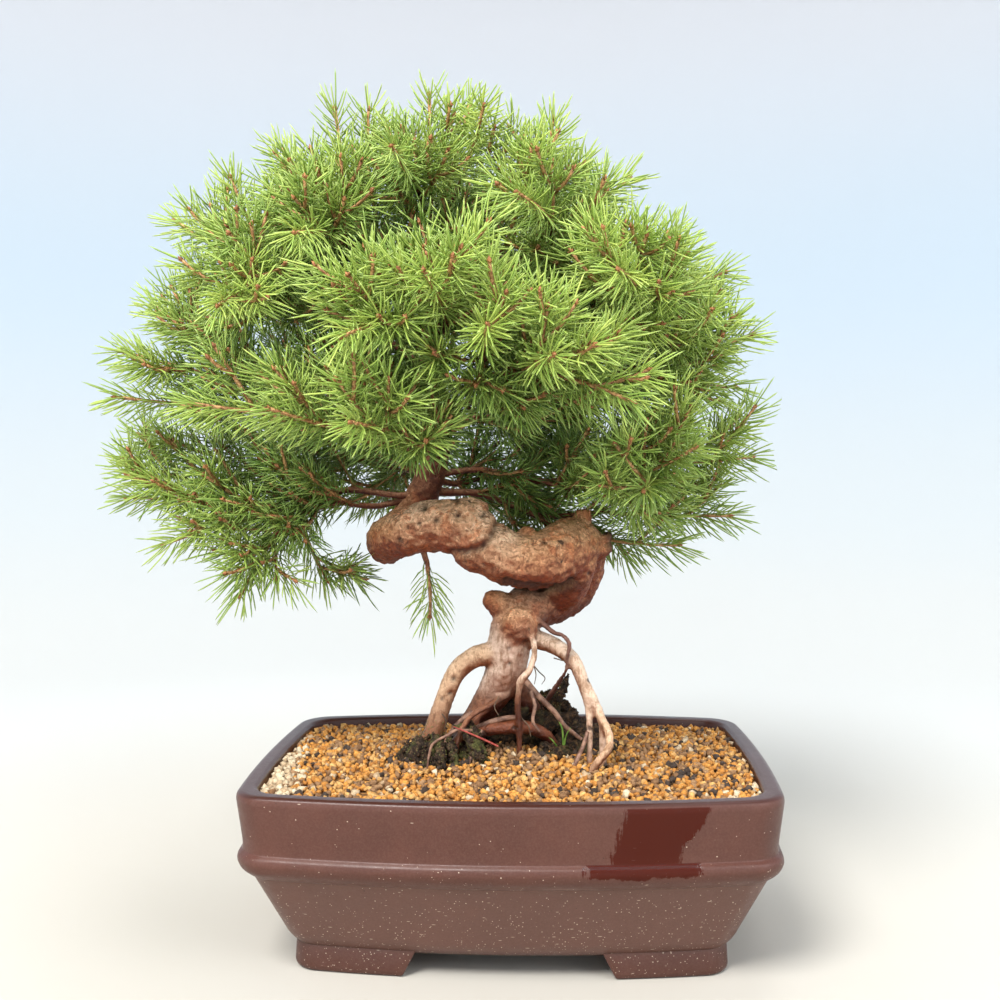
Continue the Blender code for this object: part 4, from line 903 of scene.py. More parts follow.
# Under the coil's upper turn, where the lower one goes back beneath it: the same, and how far its painted shadow
# reaches
FOLD = ((-2, 167.5), (4, 165.5), (11, 164.2), (18, 163.8), (24, 164.6), (29, 166.6))
FOLD_DEPTH, FOLD_WIDTH, FOLD_SHADOW_REACH, FOLD_PAINTED_SHADE, FOLD_FRONT = 3.4 * MM, 2.4 * MM, 5.5 * MM, 0.72, 12
# Dark pits where small twigs broke off the front: x, z and radius, mm
PITS = (
    (-40, 202.2, 1.9), (-34.3, 196.5, 1.7), (-24, 199, 1.6), (-12.5, 198.4, 1.3), (-42, 195, 1.2),
    (-47.7, 192.6, 1.1), (-24.7, 205.4, 1.0), (-52, 187, 1.1), (37, 170, 1.0), (16, 186, 1.1),
    (-27.5, 120.4, 1.3), (-29.1, 113.5, 1.0), (-0.9, 127.5, 0.8), (-1.2, 135, 0.8), (-33, 111, 0.9),
)
PIT_DEPTH, PIT_DARK = 0.9, 0.85  # of a pit's radius, and how much darker it is
TRUNK_VOXEL = 0.95 * MM
# How softly the rods' colours run into each other, and the radius from which wood has its full relief
TINT_BLEND, FULL_RELIEF = 0.9 * MM, 12 * MM
# Height below which the wood is dark and damp from the soil, mm: at the outer roots, under the stem and at
# the left root; then how softly it starts, and its shade
DAMP_OUTER, DAMP_INNER, DAMP_LEFT, DAMP_BLEND = 92, 124, 116, 19
DAMP_REACH = (2, 25)
DAMP_SHADE = (0.40, 0.25, 0.17)
# Painted shade in the angles between coils and roots: how near something must stand, and the darkest it gets
SHELTER_REACH, SHELTER_RAYS, SHELTER_FROM, SHELTER_TO, SHELTER_PAINTED_SHADE = 13 * MM, 10, 0.25, 0.85, 0.72
GOLDEN_TURN = math.radians(137.5)


def stem_colour(order):
    """The stem's colour: rusty at the soil, pinkish above it, darker as painted shade where it runs under the coil's
    upper turn, then the coil's bark.
    """
    if order < STEM_FOOT:
        return RUST_ROOT
    if order < STEM_TOP:
        return PINK_STEM
    if order < UNDER_END:
        return SHADED_UNDER_COIL
    return ARM_BARK if UPPER_COIL < order < COIL_END else COIL_BARK


def dampness(point):
    """0 for dry wood, 1 for wood that the wet soil has darkened."""
    x, _, z = (point - pot_middle) / MM
    start = DAMP_OUTER + (DAMP_INNER - DAMP_OUTER) * math.exp(-((x - DAMP_REACH[0]) / DAMP_REACH[1]) ** 4)
    if x < -DAMP_REACH[1]:
        start = max(start, DAMP_LEFT)
    return min(max((start - z) / DAMP_BLEND, 0), 1)


def sheltered(piece):
    """How much of the air over each vertex is taken by the piece's own other parts, from 0 to 1."""
    skin = BVHTree.FromPolygons([vertex.co for vertex in piece.data.vertices],
                                [face.vertices for face in piece.data.polygons])
    heights = (np.arange(SHELTER_RAYS) + 0.5) / SHELTER_RAYS
    turns = np.arange(SHELTER_RAYS) * GOLDEN_TURN
    spread = np.sqrt(1 - heights ** 2)
    rays = [Vector(ray) for ray in zip(spread * np.cos(turns), spread * np.sin(turns), heights)]
    taken = np.zeros(len(piece.data.vertices))
    for vertex in piece.data.vertices:
        turn = vertex.normal.to_track_quat("Z", "Y")
        start = vertex.co + vertex.normal * 0.4 * MM
        hits = sum(skin.ray_cast(start, turn @ ray, SHELTER_REACH)[0] is not None for ray in rays)
        taken[vertex.index] = hits / SHELTER_RAYS
    return np.clip((taken - SHELTER_FROM) / (SHELTER_TO - SHELTER_FROM), 0, 1)


def wooden_rods(name, tables, sides):
    """Round rods of wood through the tables' points, as closed meshes in one object."""
    line = bpy.data.curves.new(name, "CURVE")
    line.dimensions = "3D"
    line.bevel_depth = MM
    line.bevel_resolution = sides
    line.use_fill_caps = True
    for table in tables:
        spline = line.splines.new("POLY")
        spline.points.add(len(table) - 1)
        for point, row in zip(spline.points, table):
            point.co = (*at(row), 1)
            point.radius = row[3]
    rods = bpy.data.objects.new(name, line)
    bpy.context.scene.collection.objects.link(rods)
    bpy.ops.object.select_all(action="DESELECT")
    rods.select_set(True)
    bpy.context.view_layer.objects.active = rods
    bpy.ops.object.convert(target="MESH")
    return bpy.context.object


def relief(name, kind, size, depth, piece, group=None):
    """Raises and sinks a piece's surface by a pattern of the given size."""
    pattern = bpy.data.textures.new(name, kind)
    pattern.noise_scale = size
    change = piece.modifiers.new(name, "DISPLACE")
    change.texture = pattern
    change.texture_coords = "LOCAL"
    change.strength = depth
    change.mid_level = 0.5
    if group:
        change.vertex_group = group


main_tables = [smooth_through(line, STEM_STEPS) for line in (STEM, LEADER)]
main_tables += [smooth_through(root, ROOT_STEPS) for root in ROOTS]
main_tables += [smooth_through(stub, STUB_STEPS) for stub in STUBS]
trunk = wooden_rods("trunk_and_roots", main_tables, 5)
remesh = trunk.modifiers.new("grown together", "REMESH")
remesh.mode = "VOXEL"
remesh.voxel_size = TRUNK_VOXEL
soften = trunk.modifiers.new("soften joins", "SMOOTH")
soften.factor = 0.5
soften.iterations = 4
apply_modifiers(trunk)


def rod_colour(number, k, last):
    """Colour and flakiness at point k of a rod, in the order of the tables: stem, leader, roots, stubs."""
    if number == 0:
        return stem_colour(k / STEM_STEPS)
    if number == 1:
        return UPPER_BARK
    if number < 2 + len(ROOTS):
        return ROOT_COLOURS[number - 2]
    return COIL_BARK if k / last < STUB_END_SHARE else STUB_COLOURS[number - 2 - len(ROOTS)]


middles = np.vstack([[at(row) for row in table] for table in main_tables])
radii = np.concatenate([table[:, 3] * MM for table in main_tables])
colours = np.array([rod_colour(number, k, len(table) - 1)
                    for number, table in enumerate(main_tables) for k in range(len(table))])
bark_tints = np.ones((len(trunk.data.vertices), 4), np.float32)
damp_wood = np.zeros(len(trunk.data.vertices), np.float32)
weights = np.zeros(len(trunk.data.vertices))
crease, fold = (smooth_through([(x, 0, z) for x, z in row], STEM_STEPS) for row in (CREASE, FOLD))
shelter = sheltered(trunk)


def tint_bark(vertex):
    """Blends the colours of the rods round a point, darkens them by damp and by painted shade where sheltered, and
    weighs its relief.
    """
    beyond = np.linalg.norm(middles - np.array(vertex.co), axis=1) - radii
    share = np.exp(-(beyond - beyond.min()) / TINT_BLEND)
    share /= share.sum()
    damp = dampness(vertex.co)
    bark_tints[vertex.index] = share @ colours
    bark_tints[vertex.index, :3] *= 1 - damp * (1 - np.array(DAMP_SHADE))
    # Painted shade where other parts of the trunk stand close over the bark
    bark_tints[vertex.index, :3] *= 1 - SHELTER_PAINTED_SHADE * shelter[vertex.index]
    damp_wood[vertex.index] = damp
    weights[vertex.index] = min(float(share @ radii) / FULL_RELIEF, 1) * bark_tints[vertex.index, 3] ** 0.6


def sink(vertex, by, darkening):
    vertex.co -= by
    bark_tints[vertex.index, :3] *= 1 - darkening


def press_marks(vertex, normal):
    """Sinks the crease, the fold and the pits of the coil; darkens the pits, and paints shade into the crease, the
    fold and below it.
    """
    x, y, z = (vertex.co - pot_middle) / MM
    # Painted shade in the crease where the arm overlaps the coil
    if y < CREASE_FRONT:
        away = np.hypot(crease[:, 0] - x, crease[:, 2] - z).min() * MM
        sunk = math.exp(-(away / CREASE_WIDTH) ** 2)
        sink(vertex, normal * CREASE_DEPTH * sunk, CREASE_PAINTED_SHADE * sunk)
    # Painted shade in the fold, and a painted shadow of the upper turn on the lower one below it
    if normal.y < 0.3 and y < FOLD_FRONT:
        away = np.hypot(fold[:, 0] - x, fold[:, 2] - z)
        nearest = fold[away.argmin()]
        sunk = math.exp(-(away.min() * MM / FOLD_WIDTH) ** 2)
        shade = sunk if z > nearest[2] else math.exp(-(away.min() * MM / FOLD_SHADOW_REACH) ** 2)
        sink(vertex, normal * FOLD_DEPTH * sunk, FOLD_PAINTED_SHADE * shade)
    for pit_x, pit_z, size in PITS:
        if normal.y < -0.2 and abs(x - pit_x) < 3 * size and abs(z - pit_z) < 3 * size:
            sunk = math.exp(-((x - pit_x) ** 2 + (z - pit_z) ** 2) / size ** 2)
            sink(vertex, normal * PIT_DEPTH * size * MM * sunk, PIT_DARK * sunk)


normals = [vertex.normal.copy() for vertex in trunk.data.vertices]
for vertex, normal in zip(trunk.data.vertices, normals):
    tint_bark(vertex)
    press_marks(vertex, normal)
thick = trunk.vertex_groups.new(name="thick")
for step in range(11):
    inside = np.nonzero(np.round(weights * 10) == step)[0]
    thick.add([int(k) for k in inside], step / 10, "REPLACE")
relief("swellings", "CLOUDS", 17 * MM, 2.6 * MM, trunk, "thick")
relief("wrinkles", "STUCCI", 3.6 * MM, 1.1 * MM, trunk, "thick")
relief("flakes", "VORONOI", 2.6 * MM, 0.9 * MM, trunk, "thick")
relief("grain", "CLOUDS", 1.5 * MM, 0.55 * MM, trunk)
apply_modifiers(trunk)
trunk.data.attributes.new("tint", "FLOAT_COLOR", "POINT").data.foreach_set("color", bark_tints.ravel())
trunk.data.attributes.new("damp", "FLOAT", "POINT").data.foreach_set("value", damp_wood)
trunk.data.shade_smooth()


# What each mark on the bark multiplies its colour by, and the black of its clefts; the marks of undersides and
# hollows are painted shade, those of upper faces and ridges painted light
UNDERSIDE_SHADE, LIT_PALE_TOP, FRESH_BARK = (0.34, 0.14, 0.065), (1.45, 1.75, 2.05), (0.92, 0.62, 0.46)
DARK_FLAKE, PALE_FLAKE = (0.66, 0.57, 0.51), (1.35, 1.45, 1.55)
ROUGH_SHADE, GRAIN_SHADE = (0.50, 0.40, 0.33), (0.50, 0.38, 0.28)
HOLLOW_PAINTED_SHADE, RIDGE_PAINTED_LIGHT = (0.42, 0.28, 0.21), (1.35, 1.42, 1.50)
CLEFT_BLACK = (0.04, 0.018, 0.011)


def bark():
    """Bark: tint gives its colour and how flaky it is. Upper faces are paler, weathered and in painted light; lower
    ones are redder and darker in painted shade.
    """
    made, tree, shader, place = finish("spruce bark", 0.7)
    own = node(tree, "Attribute", {}, attribute_name="tint").node.outputs
    tint, flaky = own["Color"], own["Alpha"]
    damp = node(tree, "Attribute", {}, "Fac", attribute_name="damp")
    upward = node(tree, "SeparateXYZ", {0: node(tree, "NewGeometry", {}, "Normal")}, "Z")
    tilt = swayed(tree, upward, noise(tree, place, 120, 5, 0.65), 0.9)
    # Painted light and shade: faces turned down are darker and redder, flaky faces turned up are paler
    colour = mixed(tree, ramp(tree, tilt, -0.15, 0.75), shaded(tree, 1.0, tint, UNDERSIDE_SHADE), tint)
    lit_pale_top = times(tree, ramp(tree, tilt, 0.55, 1.15), ramp(tree, flaky, 0.4, 1.0, 0.15, 1))
    colour = mixed(tree, lit_pale_top, colour, shaded(tree, 1.0, tint, LIT_PALE_TOP))
    fresh = ramp(tree, noise(tree, place, 105, 4, 0.7), 0.52, 0.60, 0, 0.7)
    colour = shaded(tree, times(tree, fresh, ramp(tree, flaky, 0.5, 1.0)), colour, FRESH_BARK)

    bend = node(tree, "TexNoise", {"Vector": place, "Scale": 150.0, "Detail": 3.0}, "Color")
    bent = node(tree, "Mix", {0: 0.006, 6: place, 7: bend}, 2, data_type="RGBA")
    lift = node(tree, "SeparateColor", {0: cells(tree, bent, 900)["Color"]})
    colour = shaded(tree, times(tree, flaky, ramp(tree, lift, 0.45, 0.1)), colour, DARK_FLAKE)
    colour = shaded(tree, times(tree, flaky, ramp(tree, lift, 0.72, 0.95, 0, 0.8)), colour, PALE_FLAKE)
    rough = noise(tree, place, 900, 4, 0.75)
    lengthwise = noise(tree, stretched(tree, place, (1, 1, 0.25)), 420, 4, 0.7)
    rougher = times(tree, ramp(tree, rough, 0.60, 0.38, 0, 0.5), ramp(tree, flaky, 0.3, 1, 0.3, 1))
    colour = shaded(tree, rougher, colour, ROUGH_SHADE)
    grained = times(tree, ramp(tree, lengthwise, 0.52, 0.36, 0, 0.8), ramp(tree, flaky, 1, 0.3))
    colour = shaded(tree, grained, colour, GRAIN_SHADE)

    cleft = times(tree, ramp(tree, cells(tree, bent, 330, "DISTANCE_TO_EDGE")["Distance"], 0.08, 0.01),
                  ramp(tree, noise(tree, place, 95, 3), 0.54, 0.66))
    cleft = times(tree, cleft, ramp(tree, flaky, 0.3, 0.9))
    pits = flecks(tree, bent, 140, 0.36, ramp(tree, flaky, 0.3, 1.0, 0.16, 0.24))
    dark = larger(tree, times(tree, cleft, 0.55), times(tree, pits, 0.85))
    colour = mixed(tree, dark, colour, CLEFT_BLACK)
    # Painted shade in the hollows and painted light on the ridges
    hollows = node(tree, "NewGeometry", {}, "Pointiness")
    colour = shaded(tree, ramp(tree, hollows, 0.485, 0.41, 0, 0.7), colour, HOLLOW_PAINTED_SHADE)
    colour = shaded(tree, ramp(tree, hollows, 0.52, 0.60, 0, 0.6), colour, RIDGE_PAINTED_LIGHT)
    tree.links.new(colour, shader.inputs["Base Color"])
    tree.links.new(ramp(tree, damp, 0, 1, 0.60, 0.33), shader.inputs["Roughness"])
    raised = swayed(tree, rough, times(tree, ramp(tree, lift, 0.0, 0.55), flaky), 0.9)
    bumped(tree, shader, minus(tree, raised, dark), 0.7 * MM, 0.9)
    return made


bark_look = bark()
trunk.data.materials.append(bark_look)

LIMB_FLARE, FLARE_REACH = 0.5, 5 * MM  # how much thicker a limb's foot is, and over what length
limb_tables = []
for wood, foot_radius, _ in boughs:
    rows = []
    for k, point in enumerate(wood):
        share = k / (len(wood) - 1)
        flare = 1 + LIMB_FLARE * math.exp(-(point - wood[0]).length / FLARE_REACH)
        radius = (foot_radius + (TWIG_RADIUS - foot_radius) * share) * flare
        rows.append((*((point - pot_middle) / MM), radius))
    limb_tables.append(smooth_through(rows, 2))
limbs = wooden_rods("limbs", limb_tables, 2)
limbs.data.shade_smooth()
relief("knots", "CLOUDS", 4 * MM, 0.9 * MM, limbs)
apply_modifiers(limbs)
limb_tint = np.tile(np.array(UPPER_BARK, np.float32), (len(limbs.data.vertices), 1))
limbs.data.attributes.new("tint", "FLOAT_COLOR", "POINT").data.foreach_set("color", limb_tint.ravel())
limbs.data.attributes.new("damp", "FLOAT", "POINT")
limbs.data.materials.append(bark_look)
bpy.ops.object.select_all(action="DESELECT")
limbs.select_set(True)
trunk.select_set(True)
bpy.context.view_layer.objects.active = trunk
bpy.ops.object.join()
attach(trunk, "root")
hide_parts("trunk")


# Peat, moss and fine roots
# Clumps of the old black peat still cling beside the roots, one with an upright mossy peg. Moss and liverwort
# grow on the clump round the left root's foot, with the stumps of small roots in it. A few thread-like
# roots, a red shoot and blades of grass stand out of the soil. All of it is small, loose and rough.

PEAT_LUMPS = (
    (19, 14, 99, 5, 5, 12), (13, 15, 97, 5, 5, 11), (26, 13, 93, 7, 6, 10), (34, 11, 87, 7, 6, 8),
    (42, 9, 82, 7, 6, 6), (30, 2, 84, 9, 7, 7), (8, 12, 88, 8, 7, 9), (-9, 8, 86, 7, 6, 6),
    (13, 4, 93, 5, 4, 10), (-31, 2, 82, 10, 8, 7), (22, -4, 83, 9, 7, 6), (-20, -2, 82, 8, 6, 5),
    (-2, 9, 97, 7, 5, 14), (5, 8, 99, 6, 5, 13), (-9, 8, 92, 6, 5, 11),
)
MOSS_LUMPS = (
    (-43, -12, 84, 7, 6, 9), (-36, -13, 84, 7, 5, 8), (-28, -11, 84, 6, 5, 7), (-49, -5, 82, 6, 6, 6),
    (-22, -11, 82, 6, 4, 5), (-36, -21, 80, 7, 4, 4),
)
PEAT_PEG = ((18, 8, 92, 3.0), (21, 6, 105, 2.3), (23.6, 5, 111.5, 2.2), (25.8, 4.5, 116.5, 2.0),
            (26.8, 4, 119, 1.2))
MOSSY_STUMPS = (
    ((-30, -14, 93.5, 1.6), (-27.5, -21, 89.5, 1.8), (-25.5, -26, 82, 1.6)),
    ((-26, -11, 98, 1.8), (-19.5, -19, 93.5, 2.1), (-15, -25, 82, 1.8)),
    ((-21, -9, 99, 2.0), (-16, -16, 94.5, 2.2), (-12, -21, 83, 1.9)),
    ((-37, -14, 94.5, 1.9), (-33.5, -21, 90.5, 2.1), (-31.5, -27, 81, 1.8)),
)
CLODS, CLOD_SIZES = 7, (0.26, 0.5)  # on each lump, and their sizes as shares of its own
FINE_ROOTS = (
    ((-39, -25, 80, 0.5), (-37.5, -23, 90, 0.6), (-34.8, -22, 93.4, 0.65), (-30, -21, 95.7, 0.7),
     (-25.8, -19, 97.9, 0.75), (-22, -17, 97.3, 0.8), (-17, -13, 96, 0.9)),
    ((35.5, -17, 97, 0.8), (33.5, -20, 91, 1.0), (30.5, -24, 85.5, 1.0), (28, -26, 79, 0.9)),
    ((6, -4, 119, 1.6), (12, -6, 112, 1.5), (20, -6, 104, 1.3), (25, -5, 97, 1.1), (33, -3, 90, 0.9)),
    ((-24, -5, 91, 1.1), (-13, -9, 98.5, 1.3), (-2, -9, 101.5, 1.3), (4, -6, 101, 1.1)),
    ((9, -8, 114, 1.0), (11, -11, 108, 0.9), (10, -13, 101, 0.8), (13, -13, 96, 0.6)),
    ((-19, -3, 103, 1.3), (-26, -7, 98, 1.2), (-31, -11, 91, 1.1), (-33, -14, 82, 0.9)),
    ((-13, -9, 97, 0.8), (-17, -14, 92, 0.7), (-19, -18, 84, 0.7), (-20, -19, 79, 0.6)),
)
ROOT_HAIRS = (
    ((10, -5, 126.5, 0.3), (13, -6, 123, 0.28), (15.8, -6, 120, 0.25), (14.2, -6, 117, 0.15)),
    ((10.5, -5, 126, 0.3), (11.5, -6, 121.6, 0.25), (10.7, -6, 117, 0.15)),
    ((20, -11, 130.5, 0.3), (23.7, -12, 129.6, 0.25), (25.5, -12.5, 129.3, 0.2)),
    ((-6, -10, 112, 0.3), (-8, -14, 108, 0.25), (-6, -15, 104, 0.15)),
    ((5, -13, 102, 0.3), (8, -15, 99, 0.25), (9, -15, 94, 0.15)),
    ((-34, -11, 105, 0.3), (-31, -13, 101, 0.22), (-32, -13, 97, 0.15)),
)
RED_SHOOT = ((-27, -19, 99.5, 0.3), (-18.6, -19.5, 96.2, 0.45), (-9, -20, 92, 0.5), (-6, -20, 90.5, 0.4))
GRASS = (
    ((24.4, -5, 84, 0.45), (24, -6, 94.9, 0.45), (22.2, -6, 99.7, 0.35), (20.9, -7, 103.5, 0.1)),
    ((24.6, -5, 84, 0.4), (25.5, -7, 92, 0.4), (28, -9, 97, 0.1)),
    ((23, -4, 84, 0.4), (19.5, -7, 90, 0.35), (17.5, -8, 92, 0.1)),
    ((-30, -14, 82, 0.35), (-31, -18, 88, 0.3), (-34, -20, 91, 0.1)),
)
MOSS_BLADES, MOSS_LENGTH = 800, (0.6, 1.5)
PEAT_CRUMBS, PEAT_CRUMB_SIZES, CRUMBS_ABOVE = 420, (0.5, 1.5), 79 * MM  # the sizes are radii in mm


def lumps_grown_together(name, rows, rods):
    """Rough mounds and rods of earth, melted into one body."""
    bodies = []
    draw = np.random.default_rng(len(rows))
    clods = []
    for x, y, z, *size in rows:
        for way in draw.normal(size=(CLODS, 3)):
            off = way / np.linalg.norm(way) * size
            clods.append((*(off + (x, y, z)), *(np.full(3, draw.uniform(*CLOD_SIZES)) * min(size[:2]))))
    for x, y, z, wide, deep, high in (*rows, *clods):
        bpy.ops.mesh.primitive_ico_sphere_add(subdivisions=2, radius=MM, location=at((x, y, z)))
        body = bpy.context.object
        body.scale = (wide, deep, high)
        settle(body)
        bodies.append(body)
    if rods:
        bodies.append(wooden_rods(name + "_rods", [smooth_through(rod, 3) for rod in rods], 4))
    bpy.ops.object.select_all(action="DESELECT")
    for body in bodies:
        body.select_set(True)
    bpy.context.view_layer.objects.active = bodies[0]
    bpy.ops.object.join()
    lump = bpy.context.object
    lump.name = name
    melt = lump.modifiers.new("melted together", "REMESH")
    melt.mode = "VOXEL"
    melt.voxel_size = 1.25 * MM
    relief(name + " clods", "CLOUDS", 5 * MM, 3.5 * MM, lump)
    relief(name + " crumbs", "CLOUDS", 1.8 * MM, 3.0 * MM, lump)
    apply_modifiers(lump)
    lump.data.shade_smooth()
    return lump


def earth(name, dark, pale, green):
    """Wet earth with lighter crumbs, and moss that covers it in patches."""
    made, tree, shader, place = finish(name, 0.75)
    shader.inputs["Specular IOR Level"].default_value = 0.25
    crumbly = noise(tree, place, 520, 5, 0.8)
    colour = mixed(tree, ramp(tree, crumbly, 0.45, 0.72), dark, pale)
    growth = ramp(tree, noise(tree, place, 110, 4), 0.5, 0.62, 0, green)
    shade = mixed(tree, ramp(tree, crumbly, 0.3, 0.7), (0.030, 0.034, 0.008), (0.17, 0.165, 0.045))
    colour = mixed(tree, growth, colour, shade)
    tree.links.new(colour, shader.inputs["Base Color"])
    bumped(tree, shader, noise(tree, place, 800, 5, 0.7), 0.8 * MM)
    return made


def plain_growth(name, dark, pale, roughness, scale, depth=0.15 * MM):
    """Skin of a thin root, shoot or blade: two shades in soft patches, and a fine grain."""
    made, tree, shader, place = finish(name, roughness)
    colour, grain = mottled(tree, place, scale, dark, pale)
    tree.links.new(colour, shader.inputs["Base Color"])
    bumped(tree, shader, grain, depth)
    return made


def growth_piece(name, tables, sides, look):
    piece = wooden_rods(name, [smooth_through(table, 4) for table in tables], sides)
    piece.data.shade_smooth()
    piece.data.materials.append(look)
    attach(piece, "root")
    return piece


peat = lumps_grown_together("black_peat", PEAT_LUMPS, (PEAT_PEG,))
peat.data.materials.append(earth("black peat", (0.013, 0.007, 0.004), (0.15, 0.078, 0.034), 0.22))
moss = lumps_grown_together("mossy_clods", MOSS_LUMPS, MOSSY_STUMPS)
moss.data.materials.append(earth("mossy clods", (0.018, 0.010, 0.006), (0.17, 0.10, 0.05), 0.7))
draw = np.random.default_rng(31)
spots = [(face.center, face.normal) for piece in (peat, moss) for face in piece.data.polygons
         if face.normal.z > -0.3 and face.center.z > CRUMBS_ABOVE]
spots = [spots[k] for k in draw.choice(len(spots), PEAT_CRUMBS, replace=False)]
sizes = draw.uniform(*PEAT_CRUMB_SIZES, PEAT_CRUMBS) * MM
places = np.array([np.array(place) + np.array(way) * size * 0.4 for (place, way), size in zip(spots, sizes)])
corners, faces = copies(patterns[0], random_turns(draw, PEAT_CRUMBS) * sizes[:, None, None], places)
peat_crumbs = joined_mesh("peat_crumbs", [(corners, faces, 0, np.full((len(corners), 3), 0.5))],
                          [peat.data.materials[0]])
for piece in (peat, moss, peat_crumbs):
    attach(piece, "root")

growth_piece("fine_roots", FINE_ROOTS, 3,
             plain_growth("skin of the fine roots", (0.11, 0.048, 0.03), (0.34, 0.185, 0.12), 0.6, 300))
growth_piece("root_hairs", ROOT_HAIRS, 1,
             plain_growth("root hairs", (0.05, 0.03, 0.02), (0.16, 0.10, 0.06), 0.8, 500))
growth_piece("red_shoot", (RED_SHOOT,), 3,
             plain_growth("red shoot", (0.22, 0.02, 0.016), (0.46, 0.09, 0.065), 0.45, 250))
growth_piece("grass_blades", GRASS, 1,
             plain_growth("grass", (0.09, 0.19, 0.025), (0.22, 0.36, 0.06), 0.5, 300))


def spindle(sides, joints):
    """A closed spike one unit long: it starts and ends in a point, and is one unit thick at its joints."""
    bpy.ops.mesh.primitive_cone_add(vertices=sides, radius1=1, radius2=0, depth=joints[0],
                                    location=(0, 0, joints[0] / 2), rotation=(math.pi, 0, 0))
    spike = bpy.context.object
    settle(spike)

    def draw_out():
        for before, after in zip(joints, (*joints[1:], 1)):
            bpy.ops.mesh.extrude_region_move(TRANSFORM_OT_translate={"value": (0, 0, after - before)})
        bpy.ops.mesh.merge(type="CENTER")

    in_edit_mode(("FACE", lambda face: face.normal.z > 0.9), draw_out)
    shape = spike.data
    bpy.data.objects.remove(spike)
    shape.calc_loop_triangles()
    return shape


curved_needle = spindle(3, (0.22, 0.58, 0.90))
outer_needle = spindle(3, (0.42, 0.86))
inner_needle = spindle(3, (0.5,))


def blades(pattern, roots, ways, lengths, widths, bends, draw):
    """Corners and triangles of needle-shaped blades: each stands at its root, points its way and bends over."""
    corners = np.array([vertex.co for vertex in pattern.vertices])
    faces = np.array([triangle.vertices for triangle in pattern.loop_triangles])
    side = np.cross(ways, draw.normal(size=ways.shape))
    side /= np.linalg.norm(side, axis=1, keepdims=True)
    other = np.cross(ways, side)
    up = corners[:, 2]
    reach = lengths[:, None] * up[None, :]
    points = roots[:, None] + ways[:, None] * reach[..., None] + bends[:, None] * (up ** 2)[None, :, None]
    across = corners[None, :, :1] * side[:, None] + corners[None, :, 1:2] * other[:, None]
    points += across * widths[:, None, None]
    first = np.arange(len(roots))[:, None, None] * len(corners)
    return points.reshape(-1, 3), (faces[None] + first).reshape(-1, 3)


# Where moss stands: on which piece, between which heights, how far to the right, mm, and its share of all
MOSS_PLACES = ((moss, 81, 120, 99, 0.55), (peat, 104, 130, 99, 0.2), (trunk, 84, 101, -31, 0.25))


def moss_tufts():
    """Short blades that stand on the mossy clods and up the mossy peg."""
    draw = np.random.default_rng(23)
    roots, ways = [], []
    for piece, low, high, right, share in MOSS_PLACES:
        spots = [(face.center, face.normal) for face in piece.data.polygons
                 if face.normal.z > -0.4 and low * MM < face.center.z < high * MM
                 and face.center.x < pot_middle.x + right * MM]
        wanted = min(len(spots), int(MOSS_BLADES * share))
        for k in draw.choice(len(spots), wanted, replace=False):
            roots.append(spots[k][0])
            ways.append(np.array(spots[k][1]) + draw.normal(size=3) * 0.35)
    roots, ways = np.array(roots), np.array(ways)
    ways /= np.linalg.norm(ways, axis=1, keepdims=True)
    lengths = draw.uniform(*MOSS_LENGTH, len(roots)) * MM
    roots = roots - ways * 0.3 * MM
    corners, faces = blades(inner_needle, roots, ways, lengths, np.full(len(roots), 0.3 * MM), ways * 0, draw)
    tint = np.repeat(draw.random((len(roots), 1)), len(inner_needle.vertices), axis=0)
    look = plain_growth("moss", (0.05, 0.055, 0.012), (0.22, 0.21, 0.06), 0.7, 350)
    return joined_mesh("moss_tufts", [(corners, faces, 0, np.repeat(tint, 3, axis=1))], [look])


tufts = moss_tufts()
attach(tufts, "root")


# Foliage
# Each bough ends in a leading shoot with side shoots of the last two years round it, most with smaller ones of
# their own. A shoot is an orange-brown twig with soft green needles all round it that spread, curve forward
# and droop a little, and brown buds at its tip. Every spray of the frame gets its finer bough here.

NEEDLES_PER_MM, OLD_NEEDLES_PER_MM = 1.95, 0.8
NEEDLE_LENGTH, NEEDLE_WIDTH, INNER_WIDTH = (10.8, 14.2), 0.39, 1.2  # mm, and how much wider the inner ones are
NEEDLE_LEANS = (78, 66, 36)  # degrees from the shoot at its foot, along it and at its tip
FORWARD_CURVE, DROOP = (0.20, 0.80), (0.0, 0.38)
# How far out in the crown a shoot has to end for each form of needle, from 0 in the middle to 1 on its envelope
NEEDLE_FORMS = ((0.88, curved_needle), (0.68, outer_needle), (-1, inner_needle))
# Needle colours: old ones for painted shade deep in the crown, young ones for painted light far out
SHADED_OLD_NEEDLE, SHADED_OLD_PALE = (0.094, 0.185, 0.035), (0.20, 0.31, 0.060)
LIT_YOUNG_NEEDLE, LIT_YOUNG_PALE = (0.29, 0.43, 0.075), (0.49, 0.59, 0.125)
NEEDLE_TIP, NEEDLE_FOOT = (0.46, 0.56, 0.20), (0.34, 0.35, 0.09)
SHOOT_RADIUS, SHOOT_RIDGES = (1.15, 0.85), 0.12
# Size and lean of each bud at a tip; how much longer than wide they are, and how deep they sit, mm
BUDS, BUD_LENGTH, BUD_SEAT = ((1.15, 0), (0.85, 48), (0.85, -48)), 3.0, 0.6
